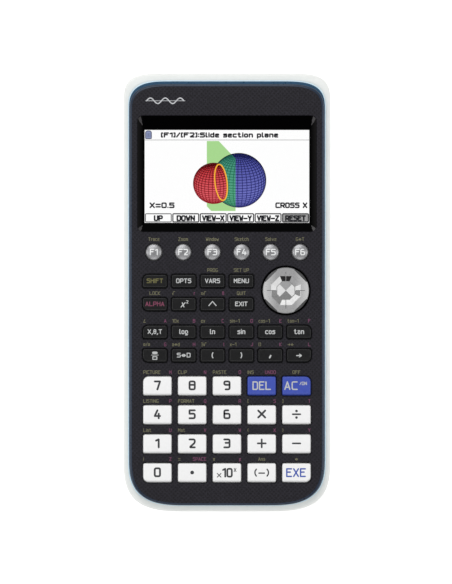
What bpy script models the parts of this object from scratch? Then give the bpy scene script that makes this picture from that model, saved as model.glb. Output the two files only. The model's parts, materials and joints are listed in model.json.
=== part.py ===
"""A handheld colour graphing calculator, lying on its back with its keys up.

Frame: +X to the right of the display, +Y towards the display end, +Z out of the keys.
Origin: the middle of the outline, on the surface that the feet stand on.
Lengths are in metres; the sizes below are written in millimetres times MM.
"""

import math

import bmesh
import bpy
from mathutils import Matrix

MM = 0.001
OVERLAP = 0.4 * MM  # how far one solid sinks into another that it is joined to
BEYOND = 1.0 * MM  # how far a cutter runs past the faces that it cuts through

# Levels, from the table up.
SHELL_BOTTOM = 0.5 * MM
FLOOR_TOP = 2.1 * MM
BOSS_TOP = 8.3 * MM
BOARD = (8.6 * MM, 9.8 * MM)
RUBBER = (10.1 * MM, 10.9 * MM)
DOME_TOP = 11.7 * MM
STEM_BOTTOM = 12.9 * MM
RIM_TOP = 13.8 * MM
SKIRT_BOTTOM = 11.5 * MM
RING = (14.1 * MM, 15.2 * MM)
FLANGE = (14.6 * MM, 15.4 * MM)
FACE_EDGE_BOTTOM = 15.5 * MM
FACE_UNDER = 15.7 * MM
FACE_TOP = 17.4 * MM
KEY_TOP = 18.6 * MM

# Plan outlines: half width, top end, bottom end, and how far each corner's curve runs along X and Y.
BODY = (44.5 * MM, 94.25 * MM, -94.25 * MM, (16.4 * MM, 12.0 * MM), (27.5 * MM, 23.0 * MM))
CAVITY = (41.9 * MM, 90.6 * MM, -91.6 * MM, (15.0 * MM, 10.6 * MM), (25.4 * MM, 20.9 * MM))
RING_OUTER = (42.6 * MM, 91.3 * MM, -91.8 * MM, (18.6 * MM, 13.2 * MM), (26.2 * MM, 21.9 * MM))
RING_INNER = (41.2 * MM, 88.9 * MM, -90.6 * MM, (17.6 * MM, 11.6 * MM), (24.8 * MM, 20.7 * MM))
FACE = (41.8 * MM, 89.6 * MM, -91.5 * MM, (18.4 * MM, 12.2 * MM), (25.6 * MM, 21.4 * MM))
SKIRT_OUTER = (40.9 * MM, 88.6 * MM, -90.3 * MM, (17.3 * MM, 11.3 * MM), (24.5 * MM, 20.4 * MM))
SKIRT_INNER = (39.3 * MM, 87.0 * MM, -88.7 * MM, (15.7 * MM, 9.7 * MM), (22.9 * MM, 18.8 * MM))
CORNER_POWER = 3.1
CORNER_STEPS = 9

# Rounded and bevelled edges.
FACE_ROUNDING, RING_BEVEL = 1.0 * MM, 0.5 * MM
BACK_ROUNDING, RIM_ROUNDING = 4.0 * MM, 0.8 * MM

# How many sides round pieces have, and how many steps a small corner takes.
PAD_SIDES, KEY_SIDES, FOOT_SIDES, BOSS_SIDES, FRONT_BOSS_SIDES = 32, 20, 16, 12, 10
HOLE_SIDES, STEM_SIDES = 8, 6
CORNER_FINE, CORNER_PLAIN = 3, 1

# Keys. Columns and rows are centres; every key travels straight down.
FUNCTION_ROW, FUNCTION_PITCH, FUNCTION_RADIUS = 17.4 * MM, 12.56 * MM, 3.4 * MM
FUNCTION_CROWN, FUNCTION_SHOULDER = (2.04 * MM, 0.15 * MM), 0.7 * MM
SMALL_ROWS = (4.9 * MM, -5.0 * MM, -16.9 * MM, -27.0 * MM)
SMALL_PITCH, SMALL_SIZE = 12.38 * MM, (10.3 * MM, 5.6 * MM)
LARGE_ROWS = (-40.1 * MM, -52.5 * MM, -65.0 * MM, -77.4 * MM)
LARGE_PITCH, LARGE_SIZE = 14.93 * MM, (12.5 * MM, 8.1 * MM)
NARROW_COLUMNS, WIDE_COLUMNS = 6, 5
KEY_GAP = 0.3 * MM
KEY_CORNER, BLOCK_CORNER = 0.55 * MM, 1.9 * MM
KEY_EDGE = 0.5 * MM
FLANGE_LIP = 0.75 * MM
STEM_RADIUS = 1.5 * MM
DOME_RADII = (2.6 * MM, 1.7 * MM)
SHEET_WIDTH, SHEET_ENDS, SHEET_CORNER = 69.0 * MM, (22.0 * MM, -82.6 * MM), 2.0 * MM

# The cursor pad and its pivot rock about a point below the pad's middle.
PAD_CENTRE = (25.3 * MM, 0.9 * MM)
PAD_RADIUS, PAD_GAP, PAD_FLANGE_RADIUS = 10.05 * MM, 0.55 * MM, 11.2 * MM
PAD_FLANGE = (13.8 * MM, 14.6 * MM)
PIVOT_HEIGHT = 13.4 * MM
PIVOT_RADIUS, PIVOT_BOTTOM = 2.0 * MM, 11.2 * MM
PIVOT_CROWN, PIVOT_SHOULDER = (1.2 * MM, 0.25 * MM), 0.9 * MM
PAD_DISH, PAD_DISH_RISE, PAD_CREST, PAD_EDGE_DROP = 0.8 * MM, (5.5 * MM, 0.1 * MM), 8.64 * MM, 0.9 * MM
PAD_DOME_REACH, PAD_STEM_BOTTOM = 7.0 * MM, 12.7 * MM

# Display: the sloped opening in the face, the window under it and the panel.
OPENING_CENTRE_Y, OPENING_SIZE = 51.1 * MM, (76.8 * MM, 49.8 * MM)
SCREEN_CENTRE_Y, SCREEN_SIZE = 50.0 * MM, (71.4 * MM, 40.4 * MM)
OPENING_CORNER, SLOPE_BEYOND = 1.6 * MM, 0.2 * MM
WINDOW = (14.6 * MM, 15.4 * MM)
WINDOW_SIZE = (75.6 * MM, 45.6 * MM)
PANEL = (13.2 * MM, 14.35 * MM)
PANEL_SIZE = (77.0 * MM, 47.0 * MM)

# The circuit board's edges keep clear of the shell and of the battery bay.
BOARD_MARGIN, BOARD_GAP = 1.5 * MM, 1.0 * MM

# Battery bay, its cover and four cells.
BAY_CENTRE_Y = 50.0 * MM
BAY_SIZE, BAY_WALL, BAY_CEILING = (44.0 * MM, 50.0 * MM), 1.2 * MM, (12.4 * MM, 13.0 * MM)
SEAT_SIZE, SEAT_TOP, FRAME_TOP, FRAME_MARGIN = (48.0 * MM, 56.0 * MM), 1.95 * MM, 3.1 * MM, 3.0 * MM
COVER = (0.5 * MM, 1.75 * MM)
COVER_GAP, COVER_CORNER = 0.3 * MM, 0.4 * MM
HINGE_Y = BAY_CENTRE_Y + SEAT_SIZE[1] / 2 - COVER_GAP
TAB_X, TAB_WIDTH, TAB_REACH = 14.0 * MM, 6.0 * MM, 1.5 * MM
TAB, TAB_SLOT = (1.15 * MM, 1.73 * MM), (1.0 * MM, 2.8 * MM)
LATCH_HALF, LATCH_LENGTH, LATCH_SLIT = 6.0 * MM, 7.0 * MM, 0.6 * MM
NOTCH_RADIUS, NOTCH_TOP = 6.0 * MM, 1.4 * MM
CELL_PITCH, CELL_RADIUS, CELL_LENGTH, CELL_AXIS = 10.8 * MM, 5.15 * MM, 44.5 * MM, 7.05 * MM
NUB_RADIUS, NUB_LENGTH, CELL_SHIFT = 1.9 * MM, 1.0 * MM, 0.8 * MM
CELL_COUNT, CELL_SHOULDER = 4, (0.5 * MM, 0.4 * MM)

# Screws, feet, sockets and the grooves that a slide-on lid runs in.
SCREWS = [(sx * x * MM, y * MM) for x, y in ((34, 82), (37, -10.95), (27, -85.4)) for sx in (-1, 1)]
SCREW_HEAD_RADIUS, SCREW_HOLE_RADIUS, SCREW_HEAD_TOP = 2.6 * MM, 1.2 * MM, 3.2 * MM
REAR_BOSS_RADIUS, FRONT_BOSS_RADIUS, FRONT_BOSS_BOTTOM = 3.8 * MM, 2.0 * MM, 10.1 * MM
FEET = [(sx * 34 * MM, y * MM) for y in (66, -72) for sx in (-1, 1)]
FOOT_RADIUS = 4.0 * MM
GROOVE = (6.6 * MM, 8.0 * MM)
GROOVE_DEPTH, GROOVE_ENDS = 0.9 * MM, (-68.0 * MM, 80.0 * MM)
SOCKET_FRONT = 90.2 * MM
USB_X, USB_LEVEL, USB_MOUTH = 10.0 * MM, 6.6 * MM, (8.0 * MM, 3.8 * MM)
USB_HOUSING, USB_LENGTH = (8.0 * MM, 4.2 * MM), 9.2 * MM
USB_THROAT, USB_DEPTH = (6.8 * MM, 3.0 * MM), 6.2 * MM
JACK_X, JACK_LEVEL, JACK_MOUTH_RADIUS = -12.0 * MM, 6.0 * MM, 1.9 * MM
JACK_HOUSING, JACK_LENGTH = (7.0 * MM, 5.2 * MM), 11.7 * MM
JACK_THROAT_RADIUS, JACK_DEPTH = 1.3 * MM, 10.2 * MM

# Colour, roughness and metallic value of each material.
FINISHES = {
    "face_black": ((0.030, 0.030, 0.034), 0.45, 0.0),
    "shell_white": ((0.86, 0.88, 0.88), 0.35, 0.0),
    "trim_blue": ((0.10, 0.22, 0.34), 0.25, 0.8),
    "key_black": ((0.015, 0.015, 0.016), 0.25, 0.0),
    "key_white": ((0.85, 0.85, 0.84), 0.35, 0.0),
    "key_blue": ((0.055, 0.085, 0.42), 0.35, 0.0),
    "key_silver": ((0.62, 0.62, 0.62), 0.3, 0.9),
    "clear_window": ((0.9, 0.92, 0.94), 0.05, 0.0),
    "panel_glass": ((0.80, 0.82, 0.84), 0.2, 0.0),
    "board_green": ((0.02, 0.16, 0.07), 0.5, 0.0),
    "rubber_grey": ((0.22, 0.22, 0.23), 0.8, 0.0),
    "cell_jacket": ((0.08, 0.10, 0.14), 0.3, 0.3),
}

SMALL_KEYS = (
    ("key_shift", "key_options", "key_variables", "key_menu"),
    ("key_alpha", "key_square", "key_power", "key_exit"),
    ("key_x_variable", "key_log", "key_ln", "key_sin", "key_cos", "key_tan"),
    ("key_fraction", "key_convert", "key_open_bracket", "key_close_bracket", "key_comma", "key_store"),
)
LARGE_KEYS = (
    ("key_7", "key_8", "key_9", "key_delete", "key_clear"),
    ("key_4", "key_5", "key_6", "key_multiply", "key_divide"),
    ("key_1", "key_2", "key_3", "key_add", "key_subtract"),
    ("key_0", "key_point", "key_exponent", "key_negative", "key_execute"),
)
BLUE_KEYS = ("key_delete", "key_clear")
# Keys at the corners of a block have one well rounded corner, given as its X and Y side.
ROUNDED = {
    "key_shift": (-1, 1), "key_alpha": (-1, -1),
    "key_x_variable": (-1, 1), "key_fraction": (-1, -1),
    "key_tan": (1, 1), "key_store": (1, -1),
    "key_7": (-1, 1), "key_clear": (1, 1), "key_0": (-1, -1), "key_execute": (1, -1),
}


def clear_scene():
    for obj in list(bpy.data.objects):
        bpy.data.objects.remove(obj)


def new_collection(name):
    collection = bpy.data.collections.new(name)
    bpy.context.scene.collection.children.link(collection)
    return collection


def material(name):
    found = bpy.data.materials.get(name)
    if found:
        return found
    colour, roughness, metallic = FINISHES[name]
    made = bpy.data.materials.new(name)
    made.use_nodes = True
    shader = made.node_tree.nodes["Principled BSDF"]
    shader.inputs["Base Color"].default_value = (*colour, 1)
    shader.inputs["Roughness"].default_value = roughness
    shader.inputs["Metallic"].default_value = metallic
    return made


def part(obj, name, finish):
    """Makes obj a part of the calculator: a node of that name, with its material."""
    obj.name = name
    obj.data.materials.clear()
    obj.data.materials.append(material(finish))
    parts.objects.link(obj)
    return obj


def helper(obj, collection):
    """Keeps obj out of the render: it only shapes a part through a Boolean."""
    collection.objects.link(obj)
    obj.hide_render = True
    obj.display_type = "WIRE"


def helpers(name, *objects):
    """A collection of helper solids, which one Boolean modifier takes as a whole."""
    collection = new_collection(name)
    for obj in objects:
        helper(obj, collection)
    return collection


def boolean(obj, operation, collection):
    modifier = obj.modifiers.new(f"{operation.lower()} {collection.name}", "BOOLEAN")
    modifier.operation = operation
    modifier.operand_type = "COLLECTION"
    modifier.collection = collection
    modifier.solver = "EXACT"


def set_origin(obj, place):
    """Puts obj's origin at place and leaves its shape where it is."""
    obj.data.transform(Matrix.Translation([-along for along in place]))
    obj.location = place


def mesh_object(name, bm):
    mesh = bpy.data.meshes.new(name)
    bm.to_mesh(mesh)
    bm.free()
    return bpy.data.objects.new(name, mesh)


def plate(name, outline, low, high):
    """A flat solid with this outline, from height low to height high, as a mesh."""
    curve = bpy.data.curves.new(name, "CURVE")
    curve.dimensions = "2D"
    curve.fill_mode = "BOTH"
    curve.extrude = (high - low) / 2
    spline = curve.splines.new("POLY")
    spline.points.add(len(outline) - 1)
    for point, (x, y) in zip(spline.points, outline):
        point.co = (x, y, 0, 1)
    spline.use_cyclic_u = True
    flat = bpy.data.objects.new(name, curve)
    bpy.context.scene.collection.objects.link(flat)
    bpy.context.view_layer.update()
    graph = bpy.context.evaluated_depsgraph_get()
    bm = bmesh.new()
    bm.from_mesh(bpy.data.meshes.new_from_object(flat.evaluated_get(graph)))
    bpy.data.objects.remove(flat)
    bmesh.ops.remove_doubles(bm, verts=bm.verts, dist=1e-6)
    bmesh.ops.dissolve_limit(bm, angle_limit=0.001, verts=bm.verts, edges=bm.edges)
    bmesh.ops.translate(bm, verts=bm.verts, vec=(0, 0, (low + high) / 2))
    return mesh_object(name, bm)


def box(name, low, high):
    bm = bmesh.new()
    bmesh.ops.create_cube(bm, size=1)
    bmesh.ops.scale(bm, verts=bm.verts, vec=[h - l for l, h in zip(low, high)])
    bmesh.ops.translate(bm, verts=bm.verts, vec=[(l + h) / 2 for l, h in zip(low, high)])
    return mesh_object(name, bm)


def cylinder(name, centre, radius, low, high, sides, top_radius=None):
    """An upright cylinder, or a cone frustum where top_radius is given."""
    bm = bmesh.new()
    bmesh.ops.create_cone(
        bm, cap_ends=True, segments=sides, radius1=radius,
        radius2=radius if top_radius is None else top_radius, depth=high - low,
    )
    bmesh.ops.translate(bm, verts=bm.verts, vec=(*centre, (low + high) / 2))
    return mesh_object(name, bm)


def lying_cylinder(name, x, z, radius, start, end, sides):
    """A cylinder along +Y, from start to end."""
    obj = cylinder(name, (0, 0), radius, 0, end - start, sides)
    for vertex in obj.data.vertices:
        a, b, along = vertex.co
        vertex.co = (x - a, start + along, z + b)
    return obj


def turned(name, profile, steps):
    """A solid of revolution about Z. The profile runs down its outer side, from axis to axis."""
    bm = bmesh.new()
    points = [bm.verts.new((radius, 0, z)) for radius, z in profile]
    for a, b in zip(points, points[1:]):
        bm.edges.new((a, b))
    obj = mesh_object(name, bm)
    screw = obj.modifiers.new("turn", "SCREW")
    screw.steps = screw.render_steps = steps
    screw.use_merge_vertices = True
    screw.merge_threshold = 0.00001
    return obj


def case_outline(side, top, bottom, top_corner, bottom_corner):
    """A long rounded rectangle whose corners are quarter superellipses, counterclockwise."""
    quarter = []
    for step in range(CORNER_STEPS + 1):
        angle = math.pi / 2 * step / CORNER_STEPS
        quarter.append(
            (math.cos(angle) ** (2 / CORNER_POWER), math.sin(angle) ** (2 / CORNER_POWER))
        )
    tw, th = top_corner
    bw, bh = bottom_corner
    upper = [(side - tw + tw * c, top - th + th * s) for c, s in quarter]
    lower = [(side - bw + bw * c, bottom + bh - bh * s) for c, s in quarter]
    left = [(-x, y) for x, y in reversed(upper)]
    return upper + left + [(-x, y) for x, y in lower] + lower[::-1]


def rounded_rectangle(width, height, radii, steps, centre=(0, 0)):
    """Radii are for the corners (1, 1), (-1, 1), (-1, -1) and (1, -1), counterclockwise."""
    points = []
    for turn, ((sx, sy), radius) in enumerate(zip(((1, 1), (-1, 1), (-1, -1), (1, -1)), radii)):
        for step in range(steps + 1):
            angle = math.pi / 2 * (turn + step / steps)
            points.append((
                centre[0] + sx * (width / 2 - radius) + radius * math.cos(angle),
                centre[1] + sy * (height / 2 - radius) + radius * math.sin(angle),
            ))
    return points


def round_edges(obj, widths, segments):
    """Rounds level edges by height: widths maps a height to the width of the bevel there."""
    widest = max(widths.values())
    weights = obj.data.attributes.new("bevel_weight_edge", "FLOAT", "EDGE")
    for edge in obj.data.edges:
        heights = [obj.data.vertices[v].co.z for v in edge.vertices]
        for level, width in widths.items():
            if all(abs(height - level) < 1e-5 for height in heights):
                weights.data[edge.index].value = width / widest
    bevel = obj.modifiers.new("rounded edges", "BEVEL")
    bevel.limit_method = "WEIGHT"
    bevel.width = widest
    bevel.segments = segments
    bevel.use_clamp_overlap = False


def smooth(obj):
    obj.data.shade_smooth()
    obj.data.set_sharp_from_angle(angle=math.radians(30))


def baked(obj):
    """obj's mesh with its modifiers applied. obj and its Booleans' helpers are removed."""
    bpy.context.scene.collection.objects.link(obj)
    bpy.context.view_layer.update()
    graph = bpy.context.evaluated_depsgraph_get()
    mesh = bpy.data.meshes.new_from_object(obj.evaluated_get(graph))
    for modifier in obj.modifiers:
        if modifier.type == "BOOLEAN":
            used = modifier.collection
            for other in list(used.objects):
                bpy.data.objects.remove(other)
            bpy.data.collections.remove(used)
    bpy.data.objects.remove(obj)
    return mesh


def key_outline(size, rounded, grow=0.0, centre=(0, 0)):
    """A key's outline, or that of its hole where it is grown by the gap."""
    order = ((1, 1), (-1, 1), (-1, -1), (1, -1))
    radii = [(BLOCK_CORNER if corner == rounded else KEY_CORNER) + grow for corner in order]
    wide, tall = (side + 2 * grow for side in size)
    return rounded_rectangle(wide, tall, radii, CORNER_FINE if rounded else CORNER_PLAIN, centre)


def key_mesh(size, rounded):
    """A key about its own centre: cap, retaining flange under the face, and stem over its dome."""
    cap = plate("cap", key_outline(size, rounded), FLANGE[1] - OVERLAP, KEY_TOP)
    round_edges(cap, {KEY_TOP: KEY_EDGE}, 1)
    lip = [side / 2 + FLANGE_LIP for side in size]
    flange = box("flange", (-lip[0], -lip[1], FLANGE[0]), (lip[0], lip[1], FLANGE[1]))
    stem = cylinder("stem", (0, 0), STEM_RADIUS, STEM_BOTTOM, FLANGE[0] + OVERLAP, STEM_SIDES)
    boolean(cap, "UNION", helpers("key additions", flange, stem))
    return baked(cap)


def function_key_mesh():
    """A round key with a slightly crowned top, turned in one piece with its flange and stem."""
    lip = FUNCTION_RADIUS + FLANGE_LIP
    profile = (
        (0, KEY_TOP), (FUNCTION_CROWN[0], KEY_TOP - FUNCTION_CROWN[1]),
        (FUNCTION_RADIUS, KEY_TOP - FUNCTION_SHOULDER), (FUNCTION_RADIUS, FLANGE[1]),
        (lip, FLANGE[1]), (lip, FLANGE[0]),
        (STEM_RADIUS, FLANGE[0]), (STEM_RADIUS, STEM_BOTTOM), (0, STEM_BOTTOM),
    )
    return baked(turned("function key", profile, KEY_SIDES))


def place_key(name, mesh, x, y, finish):
    obj = part(bpy.data.objects.new(name, mesh), name, finish)
    obj.location = (x, y, 0)
    smooth(obj)


def small_key_places():
    for y, names in zip(SMALL_ROWS, SMALL_KEYS):
        for column, name in enumerate(names):
            yield name, (column - (NARROW_COLUMNS - 1) / 2) * SMALL_PITCH, y


def large_key_places():
    for y, names in zip(LARGE_ROWS, LARGE_KEYS):
        for column, name in enumerate(names):
            yield name, (column - (WIDE_COLUMNS - 1) / 2) * LARGE_PITCH, y


def function_key_places():
    for column in range(NARROW_COLUMNS):
        yield f"key_f{column + 1}", (column - (NARROW_COLUMNS - 1) / 2) * FUNCTION_PITCH, FUNCTION_ROW


def make_keys():
    mesh = function_key_mesh()
    for name, x, y in function_key_places():
        place_key(name, mesh, x, y, "key_silver")
    meshes = {}
    blocks = ((small_key_places(), SMALL_SIZE, "key_black"), (large_key_places(), LARGE_SIZE, "key_white"))
    for places, size, usual in blocks:
        for name, x, y in places:
            finish = "key_blue" if name in BLUE_KEYS else usual
            kind = (size, ROUNDED.get(name), finish)
            if kind not in meshes:
                meshes[kind] = key_mesh(size, ROUNDED.get(name))
            place_key(name, meshes[kind], x, y, finish)


def pad_dome_offsets():
    """The pad's four domes lie right, up, left and down of its middle."""
    for dx, dy in ((1, 0), (0, 1), (-1, 0), (0, -1)):
        yield dx * PAD_DOME_REACH, dy * PAD_DOME_REACH


def place_rocker(name, mesh, finish):
    """Places a piece that rocks, modelled about the pad's middle, with its origin at the pivot's height."""
    obj = part(bpy.data.objects.new(name, mesh), name, finish)
    set_origin(obj, (0, 0, PIVOT_HEIGHT))
    obj.location = (*PAD_CENTRE, PIVOT_HEIGHT)
    smooth(obj)


def make_cursor_pad():
    """A dished disc that rocks four ways. Its four stems stand over their own domes."""
    dish = KEY_TOP - PAD_DISH
    profile = (
        (0, dish), (PAD_DISH_RISE[0], dish + PAD_DISH_RISE[1]), (PAD_CREST, KEY_TOP),
        (PAD_RADIUS, KEY_TOP - PAD_EDGE_DROP), (PAD_RADIUS, PAD_FLANGE[1]),
        (PAD_FLANGE_RADIUS, PAD_FLANGE[1]), (PAD_FLANGE_RADIUS, PAD_FLANGE[0]), (0, PAD_FLANGE[0]),
    )
    pad = turned("cursor_pad", profile, PAD_SIDES)
    stems = [
        cylinder("pad stem", (x, y), STEM_RADIUS, PAD_STEM_BOTTOM, PAD_FLANGE[0] + OVERLAP, STEM_SIDES)
        for x, y in pad_dome_offsets()
    ]
    boolean(pad, "UNION", helpers("cursor pad stems", *stems))
    place_rocker("cursor_pad", baked(pad), "key_silver")


def make_cursor_pivot():
    """The pivot under the middle of the pad. It rocks up and down, and the pad rocks sideways on its head."""
    profile = (
        (0, PIVOT_HEIGHT), (PIVOT_CROWN[0], PIVOT_HEIGHT - PIVOT_CROWN[1]),
        (PIVOT_RADIUS, PIVOT_HEIGHT - PIVOT_SHOULDER), (PIVOT_RADIUS, PIVOT_BOTTOM), (0, PIVOT_BOTTOM),
    )
    place_rocker("cursor_pivot", baked(turned("cursor_pivot", profile, BOSS_SIDES)), "rubber_grey")


def key_apertures():
    """One cutter for each hole that a key comes through."""
    low, high = FACE_UNDER - BEYOND, FACE_TOP + BEYOND
    for places, size in ((small_key_places(), SMALL_SIZE), (large_key_places(), LARGE_SIZE)):
        for name, x, y in places:
            yield plate(f"hole {name}", key_outline(size, ROUNDED.get(name), KEY_GAP, (x, y)), low, high)
    for name, x, y in function_key_places():
        yield cylinder(f"hole {name}", (x, y), FUNCTION_RADIUS + KEY_GAP, low, high, KEY_SIDES)
    yield cylinder("hole cursor_pad", PAD_CENTRE, PAD_RADIUS + PAD_GAP, low, high, PAD_SIDES)


def display_opening():
    """A cutter with sloped walls, from the opening in the face down to the edge of the screen."""
    wide, tall = OPENING_SIZE
    slope = plate(
        "display opening",
        rounded_rectangle(wide, tall, [OPENING_CORNER] * 4, CORNER_FINE, (0, OPENING_CENTRE_Y)),
        FACE_UNDER, FACE_TOP,
    )
    narrow = [inner / outer for inner, outer in zip(SCREEN_SIZE, OPENING_SIZE)]
    for vertex in slope.data.vertices:
        if vertex.co.z < FACE_TOP - 1e-5:
            x, y, _ = vertex.co
            vertex.co = (
                x * narrow[0], SCREEN_CENTRE_Y + (y - OPENING_CENTRE_Y) * narrow[1],
                FACE_UNDER,
            )
    for vertex in slope.data.vertices:
        vertex.co.z += SLOPE_BEYOND if vertex.co.z > FACE_UNDER + 1e-5 else -SLOPE_BEYOND
    return slope


def make_front_case():
    front = plate("front_case", case_outline(*FACE), FACE_EDGE_BOTTOM, FACE_TOP)
    round_edges(front, {FACE_TOP: FACE_ROUNDING}, 3)
    skirt = plate("skirt", case_outline(*SKIRT_OUTER), SKIRT_BOTTOM, FACE_UNDER)
    inside = plate("inside", case_outline(*SKIRT_INNER), SKIRT_BOTTOM - BEYOND, FACE_UNDER)
    bosses = [
        cylinder("front boss", place, FRONT_BOSS_RADIUS, FRONT_BOSS_BOTTOM, FACE_UNDER + OVERLAP,
                 FRONT_BOSS_SIDES)
        for place in SCREWS
    ]
    boolean(front, "UNION", helpers("front skirt", skirt))
    boolean(front, "DIFFERENCE", helpers("front inside", inside))
    boolean(front, "UNION", helpers("front bosses", *bosses))
    boolean(front, "DIFFERENCE", helpers("front openings", *key_apertures(), display_opening()))
    smooth(part(front, "front_case", "face_black"))


def make_trim_ring():
    ring = plate("trim_ring", case_outline(*RING_OUTER), *RING)
    round_edges(ring, {RING[1]: RING_BEVEL}, 1)
    inside = plate("ring inside", case_outline(*RING_INNER), RING[0] - BEYOND, RING[1] + BEYOND)
    boolean(ring, "DIFFERENCE", helpers("ring opening", inside))
    smooth(part(ring, "trim_ring", "trim_blue"))


def centred_box(name, centre_y, size, low, high, centre_x=0.0):
    wide, tall = size
    return box(
        name,
        (centre_x - wide / 2, centre_y - tall / 2, low),
        (centre_x + wide / 2, centre_y + tall / 2, high),
    )


def socket_box(name, x, level, section, start, end):
    """A box along +Y from start to end, with this width and height about x and level."""
    wide, tall = section
    return box(name, (x - wide / 2, start, level - tall / 2), (x + wide / 2, end, level + tall / 2))


def make_rear_case():
    rear = plate("rear_case", case_outline(*BODY), SHELL_BOTTOM, RIM_TOP)
    round_edges(rear, {SHELL_BOTTOM: BACK_ROUNDING, RIM_TOP: RIM_ROUNDING}, 4)
    inside = plate("rear inside", case_outline(*CAVITY), FLOOR_TOP, RIM_TOP + BEYOND)
    boolean(rear, "DIFFERENCE", helpers("rear cavity", inside))

    root = SHELL_BOTTOM + OVERLAP
    frame_size = [side + 2 * FRAME_MARGIN for side in SEAT_SIZE]
    block_size = [side + 2 * BAY_WALL for side in BAY_SIZE]
    feet = [cylinder("foot", place, FOOT_RADIUS, 0, root, FOOT_SIDES) for place in FEET]
    bosses = [
        cylinder("rear boss", place, REAR_BOSS_RADIUS, root, BOSS_TOP, BOSS_SIDES) for place in SCREWS
    ]
    frame = centred_box("cover frame", BAY_CENTRE_Y, frame_size, root, FRAME_TOP)
    block = centred_box("bay block", BAY_CENTRE_Y, block_size, root, BAY_CEILING[1])
    boolean(rear, "UNION", helpers("rear additions", frame, block, *bosses, *feet))

    below = SHELL_BOTTOM - BEYOND
    cuts = [
        centred_box("bay inside", BAY_CENTRE_Y, BAY_SIZE, below, BAY_CEILING[0]),
        centred_box("cover seat", BAY_CENTRE_Y, SEAT_SIZE, below, SEAT_TOP),
        cylinder("finger notch", (0, BAY_CENTRE_Y - SEAT_SIZE[1] / 2), NOTCH_RADIUS, below, NOTCH_TOP,
                 KEY_SIDES),
        socket_box("usb mouth", USB_X, USB_LEVEL, USB_MOUTH, SOCKET_FRONT - BEYOND, BODY[1] + BEYOND),
        lying_cylinder("jack mouth", JACK_X, JACK_LEVEL, JACK_MOUTH_RADIUS,
                       SOCKET_FRONT - BEYOND, BODY[1] + BEYOND, BOSS_SIDES),
    ]
    for side in (-1, 1):
        x = side * TAB_X
        cuts.append(box(
            "tab slot",
            (x - TAB_WIDTH / 2 - COVER_GAP, HINGE_Y - TAB_REACH, TAB_SLOT[0]),
            (x + TAB_WIDTH / 2 + COVER_GAP, HINGE_Y + TAB_REACH + COVER_GAP, TAB_SLOT[1]),
        ))
        inner, outer = side * (BODY[0] - GROOVE_DEPTH), side * (BODY[0] + BEYOND)
        cuts.append(box(
            "lid groove", (min(inner, outer), GROOVE_ENDS[0], GROOVE[0]),
            (max(inner, outer), GROOVE_ENDS[1], GROOVE[1]),
        ))
    for place in SCREWS:
        cuts.append(cylinder("screw head", place, SCREW_HEAD_RADIUS, below, SCREW_HEAD_TOP, BOSS_SIDES))
        cuts.append(
            cylinder("screw hole", place, SCREW_HOLE_RADIUS, below, BOSS_TOP + BEYOND, HOLE_SIDES)
        )
    boolean(rear, "DIFFERENCE", helpers("rear openings", *cuts))
    smooth(part(rear, "rear_case", "shell_white"))


def make_battery_cover():
    """A plate with two tabs at the display end and a flexible latch at the other."""
    size = [side - 2 * COVER_GAP for side in SEAT_SIZE]
    outline = rounded_rectangle(*size, [COVER_CORNER] * 4, CORNER_PLAIN, (0, BAY_CENTRE_Y))
    cover = plate("battery_cover", outline, *COVER)
    tabs = [
        box("tab", (x - TAB_WIDTH / 2, HINGE_Y - OVERLAP, TAB[0]),
            (x + TAB_WIDTH / 2, HINGE_Y + TAB_REACH, TAB[1]))
        for x in (-TAB_X, TAB_X)
    ]
    latch_end = BAY_CENTRE_Y - SEAT_SIZE[1] / 2 + COVER_GAP
    slits = [
        box("latch slit", (x - LATCH_SLIT / 2, latch_end - BEYOND, COVER[0] - BEYOND),
            (x + LATCH_SLIT / 2, latch_end + LATCH_LENGTH, COVER[1] + BEYOND))
        for x in (-LATCH_HALF, LATCH_HALF)
    ]
    boolean(cover, "UNION", helpers("cover tabs", *tabs))
    boolean(cover, "DIFFERENCE", helpers("cover slits", *slits))
    set_origin(part(cover, "battery_cover", "shell_white"), (0, HINGE_Y, COVER[0]))


def make_display():
    window = centred_box("display_window", SCREEN_CENTRE_Y, WINDOW_SIZE, *WINDOW)
    part(window, "display_window", "clear_window")
    panel = centred_box("lcd_module", SCREEN_CENTRE_Y, PANEL_SIZE, *PANEL)
    part(panel, "lcd_module", "panel_glass")


def make_circuit_board():
    """The board frames the battery bay and carries both sockets under its top strip."""
    side, top, bottom, top_corner, bottom_corner = CAVITY
    board = plate(
        "circuit_board",
        case_outline(
            side - BOARD_MARGIN, top - BOARD_MARGIN, bottom + BOARD_MARGIN, top_corner, bottom_corner
        ),
        *BOARD,
    )
    usb = socket_box(
        "usb socket", USB_X, USB_LEVEL, USB_HOUSING, SOCKET_FRONT - USB_LENGTH, SOCKET_FRONT
    )
    jack = socket_box(
        "jack socket", JACK_X, JACK_LEVEL, JACK_HOUSING, SOCKET_FRONT - JACK_LENGTH, SOCKET_FRONT
    )
    boolean(board, "UNION", helpers("sockets", usb, jack))
    bay_hole = [side + 2 * (BAY_WALL + BOARD_GAP) for side in BAY_SIZE]
    below, above = BOARD[0] - BEYOND, BOARD[1] + BEYOND
    cuts = [
        centred_box("bay hole", BAY_CENTRE_Y, bay_hole, below, above),
        socket_box("usb throat", USB_X, USB_LEVEL, USB_THROAT,
                   SOCKET_FRONT - USB_DEPTH, SOCKET_FRONT + BEYOND),
        lying_cylinder("jack throat", JACK_X, JACK_LEVEL, JACK_THROAT_RADIUS,
                       SOCKET_FRONT - JACK_DEPTH, SOCKET_FRONT + BEYOND, BOSS_SIDES),
    ]
    cuts += [
        cylinder("board hole", place, SCREW_HOLE_RADIUS, below, above, HOLE_SIDES) for place in SCREWS
    ]
    boolean(board, "DIFFERENCE", helpers("board openings", *cuts))
    part(board, "circuit_board", "board_green")


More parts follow.
